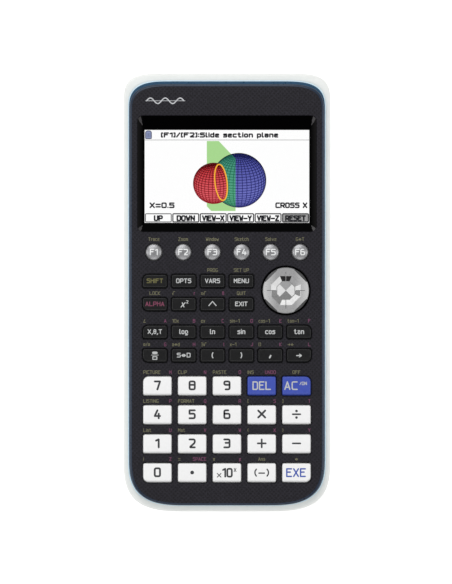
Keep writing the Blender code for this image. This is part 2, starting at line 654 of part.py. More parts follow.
def dome_places():
    for places in (function_key_places(), small_key_places(), large_key_places()):
        for _, x, y in places:
            yield x, y
    for x, y in pad_dome_offsets():
        yield PAD_CENTRE[0] + x, PAD_CENTRE[1] + y


def make_rubber_keypad():
    """One silicone sheet with a dome under every key. The domes stand at their pressed height."""
    top, bottom = SHEET_ENDS
    outline = rounded_rectangle(
        SHEET_WIDTH, top - bottom, [SHEET_CORNER] * 4, 2, (0, (top + bottom) / 2)
    )
    sheet = plate("rubber_keypad", outline, *RUBBER)
    domes = [
        cylinder("dome", place, DOME_RADII[0], RUBBER[1] - OVERLAP, DOME_TOP, STEM_SIDES, DOME_RADII[1])
        for place in dome_places()
    ]
    boolean(sheet, "UNION", helpers("domes", *domes))
    part(sheet, "rubber_keypad", "rubber_grey")


def make_cells():
    """Four AAA cells side by side, each turned the other way from its neighbour."""
    length = CELL_LENGTH
    profile = (
        (0, length / 2), (NUB_RADIUS, length / 2), (NUB_RADIUS, length / 2 - NUB_LENGTH),
        (CELL_RADIUS - CELL_SHOULDER[0], length / 2 - NUB_LENGTH),
        (CELL_RADIUS, length / 2 - NUB_LENGTH - CELL_SHOULDER[1]), (CELL_RADIUS, -length / 2),
        (0, -length / 2),
    )
    mesh = baked(turned("cell", profile, KEY_SIDES))
    for index in range(CELL_COUNT):
        way = 1 if index % 2 == 0 else -1
        x = (index - (CELL_COUNT - 1) / 2) * CELL_PITCH
        cell = part(bpy.data.objects.new("cell", mesh), f"battery_{index + 1}", "cell_jacket")
        cell.location = (x, BAY_CENTRE_Y + way * CELL_SHIFT, CELL_AXIS)
        cell.rotation_euler = (-way * math.pi / 2, 0, 0)
        smooth(cell)


clear_scene()
parts = new_collection("graphing_calculator")
make_rear_case()
make_battery_cover()
make_cells()
make_circuit_board()
make_rubber_keypad()
make_display()
make_trim_ring()
make_front_case()
make_cursor_pivot()
make_cursor_pad()
make_keys()
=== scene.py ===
"""The looks of a handheld graphing calculator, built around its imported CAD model.

Everything is in metres, in the model's own frame: +X to the right, +Y to the display end, +Z out of the keys.
"""

import json
import math
from collections import namedtuple

import bmesh
import bpy
from mathutils import Matrix, Vector

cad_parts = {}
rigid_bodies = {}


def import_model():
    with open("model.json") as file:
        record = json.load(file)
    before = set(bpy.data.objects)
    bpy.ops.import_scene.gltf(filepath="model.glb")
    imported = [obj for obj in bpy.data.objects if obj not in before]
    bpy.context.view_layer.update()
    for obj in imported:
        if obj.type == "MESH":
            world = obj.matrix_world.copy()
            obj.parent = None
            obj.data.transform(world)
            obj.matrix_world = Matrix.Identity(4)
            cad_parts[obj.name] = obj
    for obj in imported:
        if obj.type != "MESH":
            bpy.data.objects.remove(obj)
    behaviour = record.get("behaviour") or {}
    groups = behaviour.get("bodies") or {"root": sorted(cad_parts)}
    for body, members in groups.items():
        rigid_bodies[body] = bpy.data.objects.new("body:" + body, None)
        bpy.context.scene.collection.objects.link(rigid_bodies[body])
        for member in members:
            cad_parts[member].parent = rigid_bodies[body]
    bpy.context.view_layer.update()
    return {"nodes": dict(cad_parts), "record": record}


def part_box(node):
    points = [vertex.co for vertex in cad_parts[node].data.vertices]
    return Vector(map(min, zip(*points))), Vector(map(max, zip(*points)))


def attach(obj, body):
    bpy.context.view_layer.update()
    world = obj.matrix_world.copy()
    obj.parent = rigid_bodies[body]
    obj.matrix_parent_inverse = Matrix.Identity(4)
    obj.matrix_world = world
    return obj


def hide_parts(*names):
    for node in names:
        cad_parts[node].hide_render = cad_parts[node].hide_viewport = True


MM = 0.001
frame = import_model()
scene = bpy.context.scene

# Plan outlines, as in the model: half width, top end, bottom end, and each corner's reach along X and Y.
BODY = (44.5 * MM, 94.25 * MM, -94.25 * MM, (16.4 * MM, 12.0 * MM), (27.5 * MM, 23.0 * MM))
CAVITY = (41.9 * MM, 90.6 * MM, -91.6 * MM, (15.0 * MM, 10.6 * MM), (25.4 * MM, 20.9 * MM))
RING_OUTER = (42.6 * MM, 91.3 * MM, -91.8 * MM, (18.6 * MM, 13.2 * MM), (26.2 * MM, 21.9 * MM))
RING_INNER = (41.2 * MM, 88.9 * MM, -90.6 * MM, (17.6 * MM, 11.6 * MM), (24.8 * MM, 20.7 * MM))
FACE = (41.8 * MM, 89.6 * MM, -91.5 * MM, (18.4 * MM, 12.2 * MM), (25.6 * MM, 21.4 * MM))
SKIRT = (39.3 * MM, 87.0 * MM, -88.7 * MM, (15.7 * MM, 9.7 * MM), (22.9 * MM, 18.8 * MM))
CORNER_POWER, CORNER_STEPS = 3.1, 24

# Keys: the lip of the retaining flange and the gap round a cap, as in the model.
LIP, LARGE_LIP, KEY_GAP = 0.75 * MM, 0.93 * MM, 0.3 * MM
PAD_GAP, PAD_SIDES = 0.7 * MM, 64
KEY_CORNER, BLOCK_CORNER = 0.75 * MM, 2.3 * MM
KEY_CORNER_STEPS, ROUND_KEY_SIDES = 6, 48
FACE_UNDER, FACE_EDGE = 15.7 * MM, 1.0 * MM
TRIM_EDGE = 0.45 * MM
PAD_FLANGE = (13.8 * MM, 14.6 * MM)
OPENING_EDGE = 0.22 * MM
LEGEND_LIFT = 0.02 * MM

ROUNDED = {
    "key_shift": (-1, 1), "key_alpha": (-1, -1), "key_x_variable": (-1, 1), "key_fraction": (-1, -1),
    "key_tan": (1, 1), "key_store": (1, -1),
    "key_7": (-1, 1), "key_clear": (1, 1), "key_0": (-1, -1), "key_execute": (1, -1),
}


# ---------------------------------------------------------------- frame

def centre(node):
    low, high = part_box(node)
    return (low + high) / 2


def size(node):
    low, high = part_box(node)
    return high - low


FACE_EDGE_BOTTOM, FACE_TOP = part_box("trim_ring")[1].z + 0.3 * MM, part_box("front_case")[1].z
KEY_NODES = sorted(n for n in frame["nodes"] if n.startswith("key_"))
FUNCTION_KEYS = [n for n in KEY_NODES if n[4] == "f" and n[5:].isdigit()]
LARGE_KEYS = [n for n in KEY_NODES if size(n).x > 13 * MM]
SMALL_KEYS = [n for n in KEY_NODES if n not in FUNCTION_KEYS and n not in LARGE_KEYS]


# ---------------------------------------------------------------- shapes

def case_outline(side, top, bottom, top_corner, bottom_corner, inset=0.0, steps=CORNER_STEPS):
    """A long rounded rectangle whose corners are quarter superellipses, counterclockwise."""
    side, top, bottom = side - inset, top - inset, bottom + inset
    (tw, th), (bw, bh) = [(w - inset, h - inset) for w, h in (top_corner, bottom_corner)]
    quarter = []
    for step in range(steps + 1):
        angle = math.pi / 2 * step / steps
        quarter.append((math.cos(angle) ** (2 / CORNER_POWER), math.sin(angle) ** (2 / CORNER_POWER)))
    upper = [(side - tw + tw * c, top - th + th * s) for c, s in quarter]
    lower = [(side - bw + bw * c, bottom + bh - bh * s) for c, s in quarter]
    left = [(-x, y) for x, y in reversed(upper)]
    return upper + left + [(-x, y) for x, y in lower] + lower[::-1]


def rounded_rectangle(width, height, radii, steps, middle=(0, 0)):
    """Radii are for the corners (1, 1), (-1, 1), (-1, -1) and (1, -1), counterclockwise."""
    points = []
    for turn, ((sx, sy), radius) in enumerate(zip(((1, 1), (-1, 1), (-1, -1), (1, -1)), radii)):
        for step in range(steps + 1):
            angle = math.pi / 2 * (turn + step / steps)
            points.append((
                middle[0] + sx * (width / 2 - radius) + radius * math.cos(angle),
                middle[1] + sy * (height / 2 - radius) + radius * math.sin(angle),
            ))
    return points


def circle(radius, sides, middle=(0, 0)):
    turns = [2 * math.pi * i / sides for i in range(sides)]
    return [(middle[0] + radius * math.cos(a), middle[1] + radius * math.sin(a)) for a in turns]


def at(outline, z):
    return [(x, y, z) for x, y in outline]


def loft(bm, rings, start_cap=False, end_cap=False, slot=0):
    """Quads between rings of equally many points, and a cap at either end. It returns each band's faces."""
    rows = [[bm.verts.new(point) for point in ring] for ring in rings]
    bands = []
    for low, high in zip(rows, rows[1:]):
        after = [(i + 1) % len(low) for i in range(len(low))]
        bands.append([bm.faces.new((low[i], low[j], high[j], high[i])) for i, j in enumerate(after)])
    caps = [bm.faces.new(rows[0][::-1])] if start_cap else []
    caps += [bm.faces.new(rows[-1])] if end_cap else []
    for face in sum(bands, caps):
        face.material_index = slot
    return bands


def fill(bm, outlines, z, slot=0):
    """A flat sheet at height z, inside the first outline and outside the others."""
    edges = []
    for outline in outlines:
        row = [bm.verts.new((x, y, z)) for x, y in outline]
        edges += [bm.edges.new((a, b)) for a, b in zip(row, row[1:] + row[:1])]
    made = bmesh.ops.triangle_fill(bm, use_beauty=True, use_dissolve=False, edges=edges)
    for face in made["geom"]:
        if isinstance(face, bmesh.types.BMFace):
            face.material_index = slot


def arc(radius, steps):
    """(inset, drop) pairs of a rounded edge, from its side to its top."""
    angles = [math.pi / 2 * i / steps for i in range(steps + 1)]
    return [(radius * (1 - math.cos(a)), radius * (1 - math.sin(a))) for a in angles]


def closed(bm):
    bmesh.ops.remove_doubles(bm, verts=bm.verts, dist=1e-7)
    bmesh.ops.recalc_face_normals(bm, faces=bm.faces)
    return bm


def object_of(name, bm, angle=30):
    mesh = bpy.data.meshes.new(name)
    bm.to_mesh(mesh)
    bm.free()
    mesh.shade_smooth()
    mesh.set_sharp_from_angle(angle=math.radians(angle))
    obj = bpy.data.objects.new(name, mesh)
    scene.collection.objects.link(obj)
    return obj


def box_bm(low, high):
    bm = bmesh.new()
    bmesh.ops.create_cube(bm, size=1)
    bmesh.ops.scale(bm, verts=bm.verts, vec=[h - l for l, h in zip(low, high)])
    bmesh.ops.translate(bm, verts=bm.verts, vec=[(l + h) / 2 for l, h in zip(low, high)])
    return bm


def cylinder_bm(middle, radius, low, high, sides=48, along="z"):
    bm = bmesh.new()
    loft(bm, [at(circle(radius, sides), low), at(circle(radius, sides), high)], True, True)
    if along == "y":
        bmesh.ops.transform(bm, verts=bm.verts, matrix=Matrix(((-1, 0, 0), (0, 0, 1), (0, 1, 0))).to_4x4())
        bmesh.ops.translate(bm, verts=bm.verts, vec=(middle[0], 0, middle[1]))
    else:
        bmesh.ops.translate(bm, verts=bm.verts, vec=(*middle, 0))
    return bm


def turned_bm(profile, sides=48):
    """A solid of revolution about Z from (radius, z) pairs, bottom to top."""
    bm = bmesh.new()
    loft(bm, [at(circle(radius, sides), z) for radius, z in profile], True, True)
    return bm


def cut(obj, operation, solids):
    """Joins or cuts all the solids at once, and applies the result."""
    tool = bpy.data.collections.new("tool")
    for bm in solids:
        mesh = bpy.data.meshes.new("tool")
        bmesh.ops.recalc_face_normals(bm, faces=bm.faces)
        bm.to_mesh(mesh)
        bm.free()
        tool.objects.link(bpy.data.objects.new("tool", mesh))
    modifier = obj.modifiers.new("tool", "BOOLEAN")
    modifier.operation = operation
    modifier.operand_type = "COLLECTION"
    modifier.collection = tool
    modifier.solver = "EXACT"
    graph = bpy.context.evaluated_depsgraph_get()
    graph.update()
    mesh = bpy.data.meshes.new_from_object(obj.evaluated_get(graph))
    obj.modifiers.clear()
    obj.data = mesh
    mesh.shade_smooth()
    mesh.set_sharp_from_angle(angle=math.radians(30))
    for other in list(tool.objects):
        bpy.data.objects.remove(other)
    bpy.data.collections.remove(tool)


def finish_piece(obj, looks, body="case", nodes=()):
    for look in looks if isinstance(looks, (list, tuple)) else [looks]:
        obj.data.materials.append(look)
    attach(obj, body)
    if nodes:
        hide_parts(*nodes)


# ---------------------------------------------------------------- materials

def set_inputs(made, node, inputs):
    """Sets each input of a node to its value, or links it where the value is another node's output."""
    for name, value in inputs.items():
        if isinstance(value, bpy.types.NodeSocket):
            made.node_tree.links.new(value, node.inputs[name])
        else:
            node.inputs[name].default_value = value


def add_node(made, kind, inputs=(), **settings):
    node = made.node_tree.nodes.new("ShaderNode" + kind)
    for name, value in settings.items():
        setattr(node, name, value)
    set_inputs(made, node, dict(inputs))
    return node


def new_material(name):
    """A material, its shader and the place on the piece that its patterns follow."""
    made = bpy.data.materials.new(name)
    made.use_nodes = True
    return made, made.node_tree.nodes["Principled BSDF"], add_node(made, "TexCoord").outputs


def base_colour(made):
    """The output that the material's colour comes from."""
    return made.node_tree.nodes["Principled BSDF"].inputs["Base Color"].links[0].from_socket


def looks(name, colour, roughness, metallic=0.0, grain=900, mottle=0.06, bump=0.08,
          bump_grain=4000, specular=0.5, coat=0.0, alpha=1.0, glow=0.0):
    """Moulded plastic, metal or rubber: noise varies its colour and gloss, and a finer noise its surface."""
    made, shader, place = new_material(name)

    def noise(scale, detail):
        inputs = {"Vector": place["Object"], "Scale": scale, "Detail": detail}
        return add_node(made, "TexNoise", inputs).outputs["Fac"]

    broad = noise(grain, 3)
    ramp = add_node(made, "ValToRGB", {"Fac": broad})
    for element, position, share in zip(ramp.color_ramp.elements, (0.35, 0.65), (1 - mottle, 1 + mottle)):
        element.position, element.color = position, (*[min(channel * share, 1) for channel in colour], 1)
    gloss = {"From Min": 0.3, "From Max": 0.7, "To Min": roughness * 0.88, "To Max": roughness * 1.12}
    relief = {"Strength": bump, "Distance": RELIEF_DEPTH, "Height": noise(bump_grain, 2)}
    set_inputs(made, shader, {
        "Base Color": ramp.outputs["Color"],
        "Roughness": add_node(made, "MapRange", {"Value": broad, **gloss}).outputs["Result"],
        "Normal": add_node(made, "Bump", relief).outputs["Normal"],
        "Metallic": metallic, "Specular IOR Level": specular, "Coat Weight": coat, "Alpha": alpha,
    })
    if glow:
        set_inputs(made, shader, {"Emission Color": ramp.outputs["Color"], "Emission Strength": glow})
    return made


def mix_colour(made, first, second, share, blend="MIX"):
    inputs = {"A": first, "B": second, "Factor": share}
    return add_node(made, "Mix", data_type="RGBA", blend_type=blend, inputs=inputs).outputs["Result"]


def weave(made, pitch, depth):
    """Adds a fine diagonal basket pattern to a material's colour."""
    place = made.node_tree.nodes["Texture Coordinate"].outputs["Object"]
    product = add_node(made, "Math", operation="MULTIPLY")
    for index, side in enumerate((1, -1)):
        turned = add_node(made, "Mapping", {"Scale": (side, 1, 0), "Vector": place})
        waves = {"Scale": 2 * math.pi / (10 * math.sqrt(2) * pitch), "Vector": turned.outputs["Vector"]}
        bands = add_node(made, "TexWave", waves, bands_direction="DIAGONAL")
        set_inputs(made, product, {index: bands.outputs["Fac"]})
    tinted = mix_colour(made, base_colour(made), (depth, depth, depth, 1), product.outputs["Value"], "MULTIPLY")
    set_inputs(made, made.node_tree.nodes["Principled BSDF"], {"Base Color": tinted})
    return made


def painted_highlight_ends(made, start, end, colour, middle=0.0):
    """Paints a highlight: blends a material's colour to this lighter one, from start to end metres either side of
    the middle.
    """
    place = made.node_tree.nodes["Texture Coordinate"].outputs["Object"]
    split = add_node(made, "SeparateXYZ", {"Vector": place})
    shift = add_node(made, "Math", {0: split.outputs["X"], 1: middle}, operation="SUBTRACT")
    away = add_node(made, "Math", {0: shift.outputs["Value"]}, operation="ABSOLUTE")
    share = add_node(made, "MapRange", {"Value": away.outputs["Value"], "From Min": start, "From Max": end})
    blended = mix_colour(made, base_colour(made), (*colour, 1), share.outputs["Result"])
    set_inputs(made, made.node_tree.nodes["Principled BSDF"], {"Base Color": blended})
    return made


RELIEF_DEPTH = 0.1 * MM
def grey(level):
    return (level, level, level)


FACE_LOOK = weave(looks("face_plastic", (0.0170, 0.0158, 0.0212), 0.48, grain=2200, mottle=0.4, bump=0.28,
                        bump_grain=3600, specular=0.18), 1.3 * MM, 0.4)
EDGE_LOOK = looks("face_edge", (0.006, 0.018, 0.042), 0.3, mottle=0.1, bump=0.02, specular=0.4)
SURROUND_LOOK = looks("surround_gloss", (0.0004, 0.0004, 0.0005), 0.3, specular=0.008, bump=0.01)
# Painted reflection: the surround's black lightens towards its left and right ends.
painted_highlight_ends(SURROUND_LOOK, 36 * MM, 39 * MM, (0.012, 0.0115, 0.0115))
# Painted highlight: a lighter grey for the surround's rounded corners, where its gloss would catch the lamps.
MITRE_HIGHLIGHT_LOOK = looks("surround_mitre_painted_highlight", (0.040, 0.038, 0.040), 0.4, mottle=0.2, specular=0.3, bump=0.02)
WHITE_LOOK = looks("shell_plastic", (0.825, 0.84, 0.82), 0.34, grain=500, mottle=0.012, bump=0.012,
                   bump_grain=2600)
TRIM_LOOK = looks("trim_plated", (0.030, 0.095, 0.18), 0.3, 0.4, grain=700, mottle=0.05, bump=0.02)
# Painted highlight: a pale blue-white for the plated ring's rounded outer edge.
TRIM_EDGE_HIGHLIGHT_LOOK = looks("trim_edge_painted_highlight", (0.62, 0.80, 0.90), 0.25, grain=700, mottle=0.03, bump=0.02)
WHITE_KEY_LOOK = looks("white_key", grey(0.87), 0.34, grain=700, mottle=0.012, bump=0.02)
BLUE_KEY_LOOK = looks("blue_key", (0.045, 0.078, 0.41), 0.36, grain=700, mottle=0.04, bump=0.02, specular=0.35)
BLACK_KEY_LOOK = looks("black_key", (0.0045, 0.0045, 0.005), 0.3, mottle=0.2, bump=0.03, specular=0.3)
# Painted shade: flanges and undersides seen through the gaps round the keys and the pad are near-black, for the
# shade down there.
FLANGE_SHADE_LOOK = looks("key_flange_painted_shade", grey(0.003), 0.6, mottle=0.2, specular=0.08)
SILVER_LOOK = looks("silver_paint", (0.31, 0.31, 0.32), 0.36, 0.75, grain=1700, mottle=0.10, bump=0.05)
CHROME_LOOK = looks("bright_plated", (0.40, 0.40, 0.405), 0.3, 0.45, grain=1400, mottle=0.05, bump=0.02)
# Painted highlight: the pad's plating lightens towards its left and right sides.
painted_highlight_ends(CHROME_LOOK, 4 * MM, 9 * MM, grey(0.66), centre("cursor_pad").x)
# Painted shade and painted highlights: darker and lighter copies of the pad's plating, one per facet, for how the
# lamps fall on it.
PAD_PAINTED_SHADE_LOOK = looks("plated_painted_shade", (0.075, 0.075, 0.077), 0.35, 0.3, grain=1400, mottle=0.12, bump=0.02)
PAD_PAINTED_HIGHLIGHT_LOOK = looks("plated_painted_highlight", grey(0.76), 0.25, 0.15, grain=1400, mottle=0.03, bump=0.01)
PAD_PAINTED_HALF_SHADE_LOOK = looks("plated_painted_half_shade", grey(0.235), 0.35, 0.3, grain=1400, mottle=0.08, bump=0.02)
RUBBER_LOOK = looks("rubber", (0.045, 0.045, 0.048), 0.75, grain=1500, mottle=0.15, bump=0.2, bump_grain=5000)
SHEET_LOOK = looks("silicone", (0.12, 0.12, 0.125), 0.7, mottle=0.1, bump=0.1)
STEEL_LOOK = looks("plated_steel", (0.55, 0.55, 0.54), 0.28, 1.0, mottle=0.08, bump=0.05)
BOARD_LOOK = looks("board_resist", (0.012, 0.11, 0.045), 0.38, grain=380, mottle=0.35, bump=0.25,
                   bump_grain=700)


# ---------------------------------------------------------------- lettering

# Letters are strokes on a grid whose baseline is 2, lower-case top 7 and capital top 9. Two figures are one
# point, x then y. A stroke that starts with ! keeps its corners, and the others are rounded.
STROKES = {
    "0": "0242490902", "1": "!0829 !2922", "2": "0949460242", "3": "09494202 !1646", "4": "!290444 !3632",
    "5": "!490906 06464202", "6": "390902424606", "7": "!094922", "8": "0242490902 !0646", "9": "460609494212",
    "A": "!022942 !1434", "B": "!0209 09494606 06464202", "C": "49090242", "D": "!0209 09494202",
    "E": "!49090242 !0636", "F": "!490902 !0636", "G": "490902424525", "H": "!0209 !4249 !0646", "I": "!0209",
    "J": "39320204", "K": "!0209 !490542", "L": "!090242", "M": "!0209254942", "N": "!02094249",
    "O": "0242490902", "P": "!0209 09494505", "Q": "0242490902 !2441", "R": "!0209 09494505 !2542",
    "S": "490906464202", "T": "!0949 !2229", "U": "09024249", "V": "!092249", "W": "!0912263249",
    "X": "!0249 !0942", "Y": "!092549 !2522", "Z": "!09490242",
    "a": "073732020535", "b": "!0902 02323707", "c": "37070232", "d": "!3932 32020737", "e": "320207373505",
    "f": "291912 !0727", "g": "320207373000", "h": "!0209 073732", "i": "!0207 !0909", "k": "!0209 !370532",
    "l": "090212", "m": "!0207 072722 274742", "n": "!0207 073732", "o": "0232370702", "p": "!0007 07373202",
    "r": "!0207 0727", "s": "370705353202", "t": "191232 !0727", "u": "070232 !3237", "v": "!072247",
    "w": "!0712253247", "x": "!0237 !0732", "y": "!0722 !4700", "z": "!07370232",
    "(": "19070412", ")": "09171402", "[": "!19090212", "]": "!09191202", "+": "!0545 !2723", "-": "!0545",
    "*": "!0347 !0743", ":": "!0303 !0707", "/": "!0239", "=": "!0747 !0343", ".": "!0202", ",": "!1212 !1200",
    "^": "!062946", "~": "!0549 !4905", ">": "!0555 !375533", "<": "!0555 !375533 !270523",
    "v/": "", "r/": "!051229 !2959", "@": "!390242", "#": "!0333370703",
    "p/": "!0747 !1712 !3732", "t/": "0232390902 !0636", "q": "32020737 !3700",
}
# On that grid: the baseline, a capital's height, the gap between letters, a space, and the bend at a corner.
BASELINE, GRID_CAPITAL, LETTER_GAP, SPACE_WIDTH, STROKE_BEND = 2, 7.0, 1.9, 1.6, 1.35
LONGEST_STROKE, LAYER_STEP, LAYERS = 0.35 * MM, 0.004 * MM, 5
END_STEPS, BEND_STEPS, NO_LENGTH = 5, 4, 1e-9


def tokens(text):
    """Splits text into glyph names. A letter followed by / names a special glyph, where there is one."""
    while text:
        token = text[:2] if len(text) > 1 and text[:2] in STROKES else text[0]
        yield token
        text = text[len(token):]


def rounded_line(points, radius, loop):
    """The polyline with its corners turned into arcs of about this radius."""
    result = []
    for i, point in enumerate(points):
        if not loop and i in (0, len(points) - 1):
            result.append(point)
            continue
        before, after = points[i - 1] - point, points[(i + 1) % len(points)] - point
        reach = min(radius, before.length * 0.5, after.length * 0.5)
        start, end = point + before.normalized() * reach, point + after.normalized() * reach
        for t in (step / BEND_STEPS for step in range(BEND_STEPS + 1)):
            result.append(start * (1 - t) ** 2 + point * 2 * t * (1 - t) + end * t ** 2)
    return result


def fine_line(points, longest):
    result = [points[0]]
    for a, b in zip(points, points[1:]):
        parts = max(1, math.ceil((b - a).length / longest))
        result += [a.lerp(b, i / parts) for i in range(1, parts + 1)]
    return result


def ribbon(bm, points, width, loop, height):
    """A flat band of this width along points, with round ends. height(x, y) gives each vertex's level."""
    def vertex(p):
        return bm.verts.new((p.x, p.y, height(p.x, p.y)))

    half, count = width / 2, len(points)
    ends = []
    for i, point in enumerate(points):
        before = points[i - 1] if loop or i else point
        after = points[(i + 1) % count] if loop or i < count - 1 else point
        along = (after - before).normalized() if (after - before).length > NO_LENGTH else Vector((1, 0))
        side = Vector((-along.y, along.x)) * half
        ends.append((point + side, point - side))
    verts = [(vertex(a), vertex(b)) for a, b in ends]
    for (a, b), (c, d) in zip(verts, verts[1:] + (verts[:1] if loop else [])):
        bm.faces.new((b, d, c, a))
    if loop:
        return
    for end, first, last in ((0, 0, 1), (-1, 1, 0)):
        out = ends[end][first] - points[end]
        turns = [Matrix.Rotation(math.pi * step / END_STEPS, 2) for step in range(1, END_STEPS)]
        cap = [vertex(points[end] + turn @ out) for turn in turns]
        bm.faces.new([verts[end][first]] + cap + [verts[end][last]])


def glyph_width(token):
    if token == " ":
        return SPACE_WIDTH
    return max(int(figure) for stroke in STROKES[token].split() for figure in stroke.lstrip("!")[::2])


def text_width(text, scale):
    return (sum(glyph_width(token) + LETTER_GAP for token in tokens(text)) - LETTER_GAP) * scale


def write(bm, text, x, y, capital, weight, height, align="centre", narrow=1.0, slant=0.0):
    """Text with capitals of this height. (x, y) is the middle, or the left or right end, at half capital height.

    The strokes take turns at a few levels, so that no two that cross lie in one plane.
    """
    scale = capital / GRID_CAPITAL
    pen = x - text_width(text, scale) * narrow * {"left": 0, "centre": 0.5, "right": 1}[align]
    layer = 0
    for token in tokens(text):
        for stroke in STROKES.get(token, "").split():
            sharp, figures = stroke.startswith("!"), [int(figure) for figure in stroke.lstrip("!")]
            points = [
                Vector((
                    pen + (right + slant * (up - BASELINE)) * scale * narrow,
                    y + (up - BASELINE - GRID_CAPITAL / 2) * scale,
                ))
                for right, up in zip(figures[::2], figures[1::2])
            ]
            loop = len(points) > 2 and points[0] == points[-1]
            if loop:
                points = points[:-1]
            if sharp:
                lines = [list(pair) for pair in zip(points, points[1:] + (points[:1] if loop else []))]
            else:
                lines = [rounded_line(points, STROKE_BEND * scale, loop)]
            for line in lines:
                layer = (layer + 1) % LAYERS
                if sharp or not loop:
                    line = fine_line(line, LONGEST_STROKE)
                lift = layer * LAYER_STEP
                ribbon(bm, line, capital * weight, loop and not sharp, lambda px, py: height(px, py) + lift)
        pen += (glyph_width(token) + LETTER_GAP) * scale * narrow


# ---------------------------------------------------------------- case

def key_outline(node, grow, middle=True):
    """The outline of a key's cap, grown by this much."""
    lip = LARGE_LIP if node in LARGE_KEYS else LIP
    wide, tall = size(node).x - 2 * lip, size(node).y - 2 * LIP
    place = centre(node).xy if middle else (0, 0)
    if node in FUNCTION_KEYS:
        return circle(wide / 2 + grow, ROUND_KEY_SIDES, place)
    rounded = ROUNDED.get(node)
    radii = [
        (BLOCK_CORNER if corner == rounded else KEY_CORNER) + grow
        for corner in ((1, 1), (-1, 1), (-1, -1), (1, -1))
    ]
    return rounded_rectangle(wide + 2 * grow, tall + 2 * grow, radii, KEY_CORNER_STEPS, place)


PAD_MIDDLE = centre("cursor_pad").xy
PAD_RADIUS = 9.9 * MM
OPENING_MIDDLE, OPENING_SIZE = (0, 51.1 * MM), (76.8 * MM, 49.8 * MM)
SCREEN_MIDDLE, SCREEN_SIZE = (0, 50.0 * MM), (71.4 * MM, 40.4 * MM)


def pad_outline(grow):
    return circle(PAD_RADIUS + PAD_GAP + grow, PAD_SIDES, PAD_MIDDLE)


def display_ring(share, grow=0.0):
    """The sloped surround's outline, from 0 at the face to 1 at the screen."""
    wide, tall = [a + (b - a) * share + 2 * grow for a, b in zip(OPENING_SIZE, SCREEN_SIZE)]
    middle_y = OPENING_MIDDLE[1] + (SCREEN_MIDDLE[1] - OPENING_MIDDLE[1]) * share
    radius = (2.4 - 1.9 * share) * MM + grow
    return rounded_rectangle(wide, tall, [radius] * 4, SURROUND_CORNER_STEPS, (0, middle_y))


SURROUND_STEPS, SURROUND_CORNER_STEPS = 8, 10


def make_front_case():
    """The face plate, its key openings and the sloped surround of the display, with painted highlights on its
    mitres.
    """
    bm = bmesh.new()
    edge = OPENING_EDGE
    outlines = [lambda grow, n=node: key_outline(n, KEY_GAP + grow) for node in KEY_NODES] + [pad_outline]
    border = [at(case_outline(*FACE), FACE_EDGE_BOTTOM)]
    border += [at(case_outline(*FACE, inset=inset), FACE_TOP - drop) for inset, drop in arc(FACE_EDGE, 6)]
    loft(bm, border, slot=2)
    openings = [outline(edge) for outline in outlines] + [display_ring(0, edge)]
    fill(bm, [case_outline(*FACE, inset=FACE_EDGE)] + openings, FACE_TOP)
    lip = [(edge - inset, edge - drop) for inset, drop in arc(edge, 3)]
    for outline in outlines:
        rings = [at(outline(edge - inset), FACE_TOP - drop) for inset, drop in lip]
        loft(bm, rings + [at(outline(0), FACE_UNDER)])
    loft(bm, [at(display_ring(0, edge - inset), FACE_TOP - drop) for inset, drop in lip])
    slope = []
    for step in range(SURROUND_STEPS + 1):
        share = step / SURROUND_STEPS
        slope.append(at(display_ring(share), FACE_TOP - edge - (FACE_TOP - FACE_UNDER - edge) * share))
    # Painted highlight: faces near the middle of each rounded corner, wider in the upper bands of the slope, take
    # the lighter mitre colour.
    for band, faces in enumerate(loft(bm, slope, slot=1)):
        reach = 2 if band < 3 else 1 if band < 5 else 0
        for i, face in enumerate(faces):
            if abs(i % (SURROUND_CORNER_STEPS + 1) + 0.5 - SURROUND_CORNER_STEPS / 2) < reach:
                face.material_index = 3
    fill(bm, [case_outline(*SKIRT)] + [outline(0) for outline in outlines] + [display_ring(1)], FACE_UNDER)
    skirt = [at(case_outline(*SKIRT), z) for z in (FACE_UNDER, FACE_EDGE_BOTTOM)]
    loft(bm, skirt + [at(case_outline(*FACE), FACE_EDGE_BOTTOM)])
    finish_piece(object_of("front_case_shell", closed(bm)), [FACE_LOOK, SURROUND_LOOK, EDGE_LOOK, MITRE_HIGHLIGHT_LOOK],
                 nodes=["front_case"])


def make_trim_ring():
    """A thin ring round the face, blue on top, with a painted highlight as a pale colour on its rounded outer
    edge.
    """
    low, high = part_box("trim_ring")
    foot = at(case_outline(*RING_OUTER), low.z)
    rounded = [at(case_outline(*RING_OUTER, inset=inset), high.z - drop) for inset, drop in arc(TRIM_EDGE, 5)]
    inner = [at(case_outline(*RING_INNER), z) for z in (high.z, low.z)]
    bm = bmesh.new()
    loft(bm, [rounded[-1]] + inner + [foot])
    loft(bm, [foot] + rounded, slot=1)
    finish_piece(object_of("trim_ring_plated", closed(bm)), [TRIM_LOOK, TRIM_EDGE_HIGHLIGHT_LOOK], nodes=["trim_ring"])


SHELL_BOTTOM, FLOOR_TOP, BOSS_TOP, BOSS_RADIUS = 0.5 * MM, 2.1 * MM, 8.3 * MM, 3.8 * MM
SHELL_ROOT = SHELL_BOTTOM + 0.4 * MM
SCREWS = [(sx * x * MM, y * MM) for x, y in ((34, 82), (37, -10.95), (27, -85.4)) for sx in (-1, 1)]
FEET = [Vector(mount["pos_m"]) for mount in frame["record"]["mounts"]]
COVER_GAP = 0.3 * MM
BEYOND = 1.0 * MM
# The battery bay: its middle, then half sizes, with the cover's seat below it and the walls about it.
BAY_Y, BAY, SEAT = 50.0 * MM, (22.0 * MM, 25.0 * MM), (24.0 * MM, 28.0 * MM)
BAY_WALL, SEAT_WALL = 1.2 * MM, 3 * MM
BAY_ROOF, BAY_WALL_TOP, SEAT_ROOF, SEAT_WALL_TOP = 12.4 * MM, 13.0 * MM, 1.95 * MM, 3.1 * MM
TAB_X, LATCH_X = 14 * MM, 6 * MM


def mm(*values):
    return [value * MM for value in values]


def slab(half, low, high):
    """A block about the middle of the battery bay."""
    return box_bm((-half[0], BAY_Y - half[1], low), (half[0], BAY_Y + half[1], high))


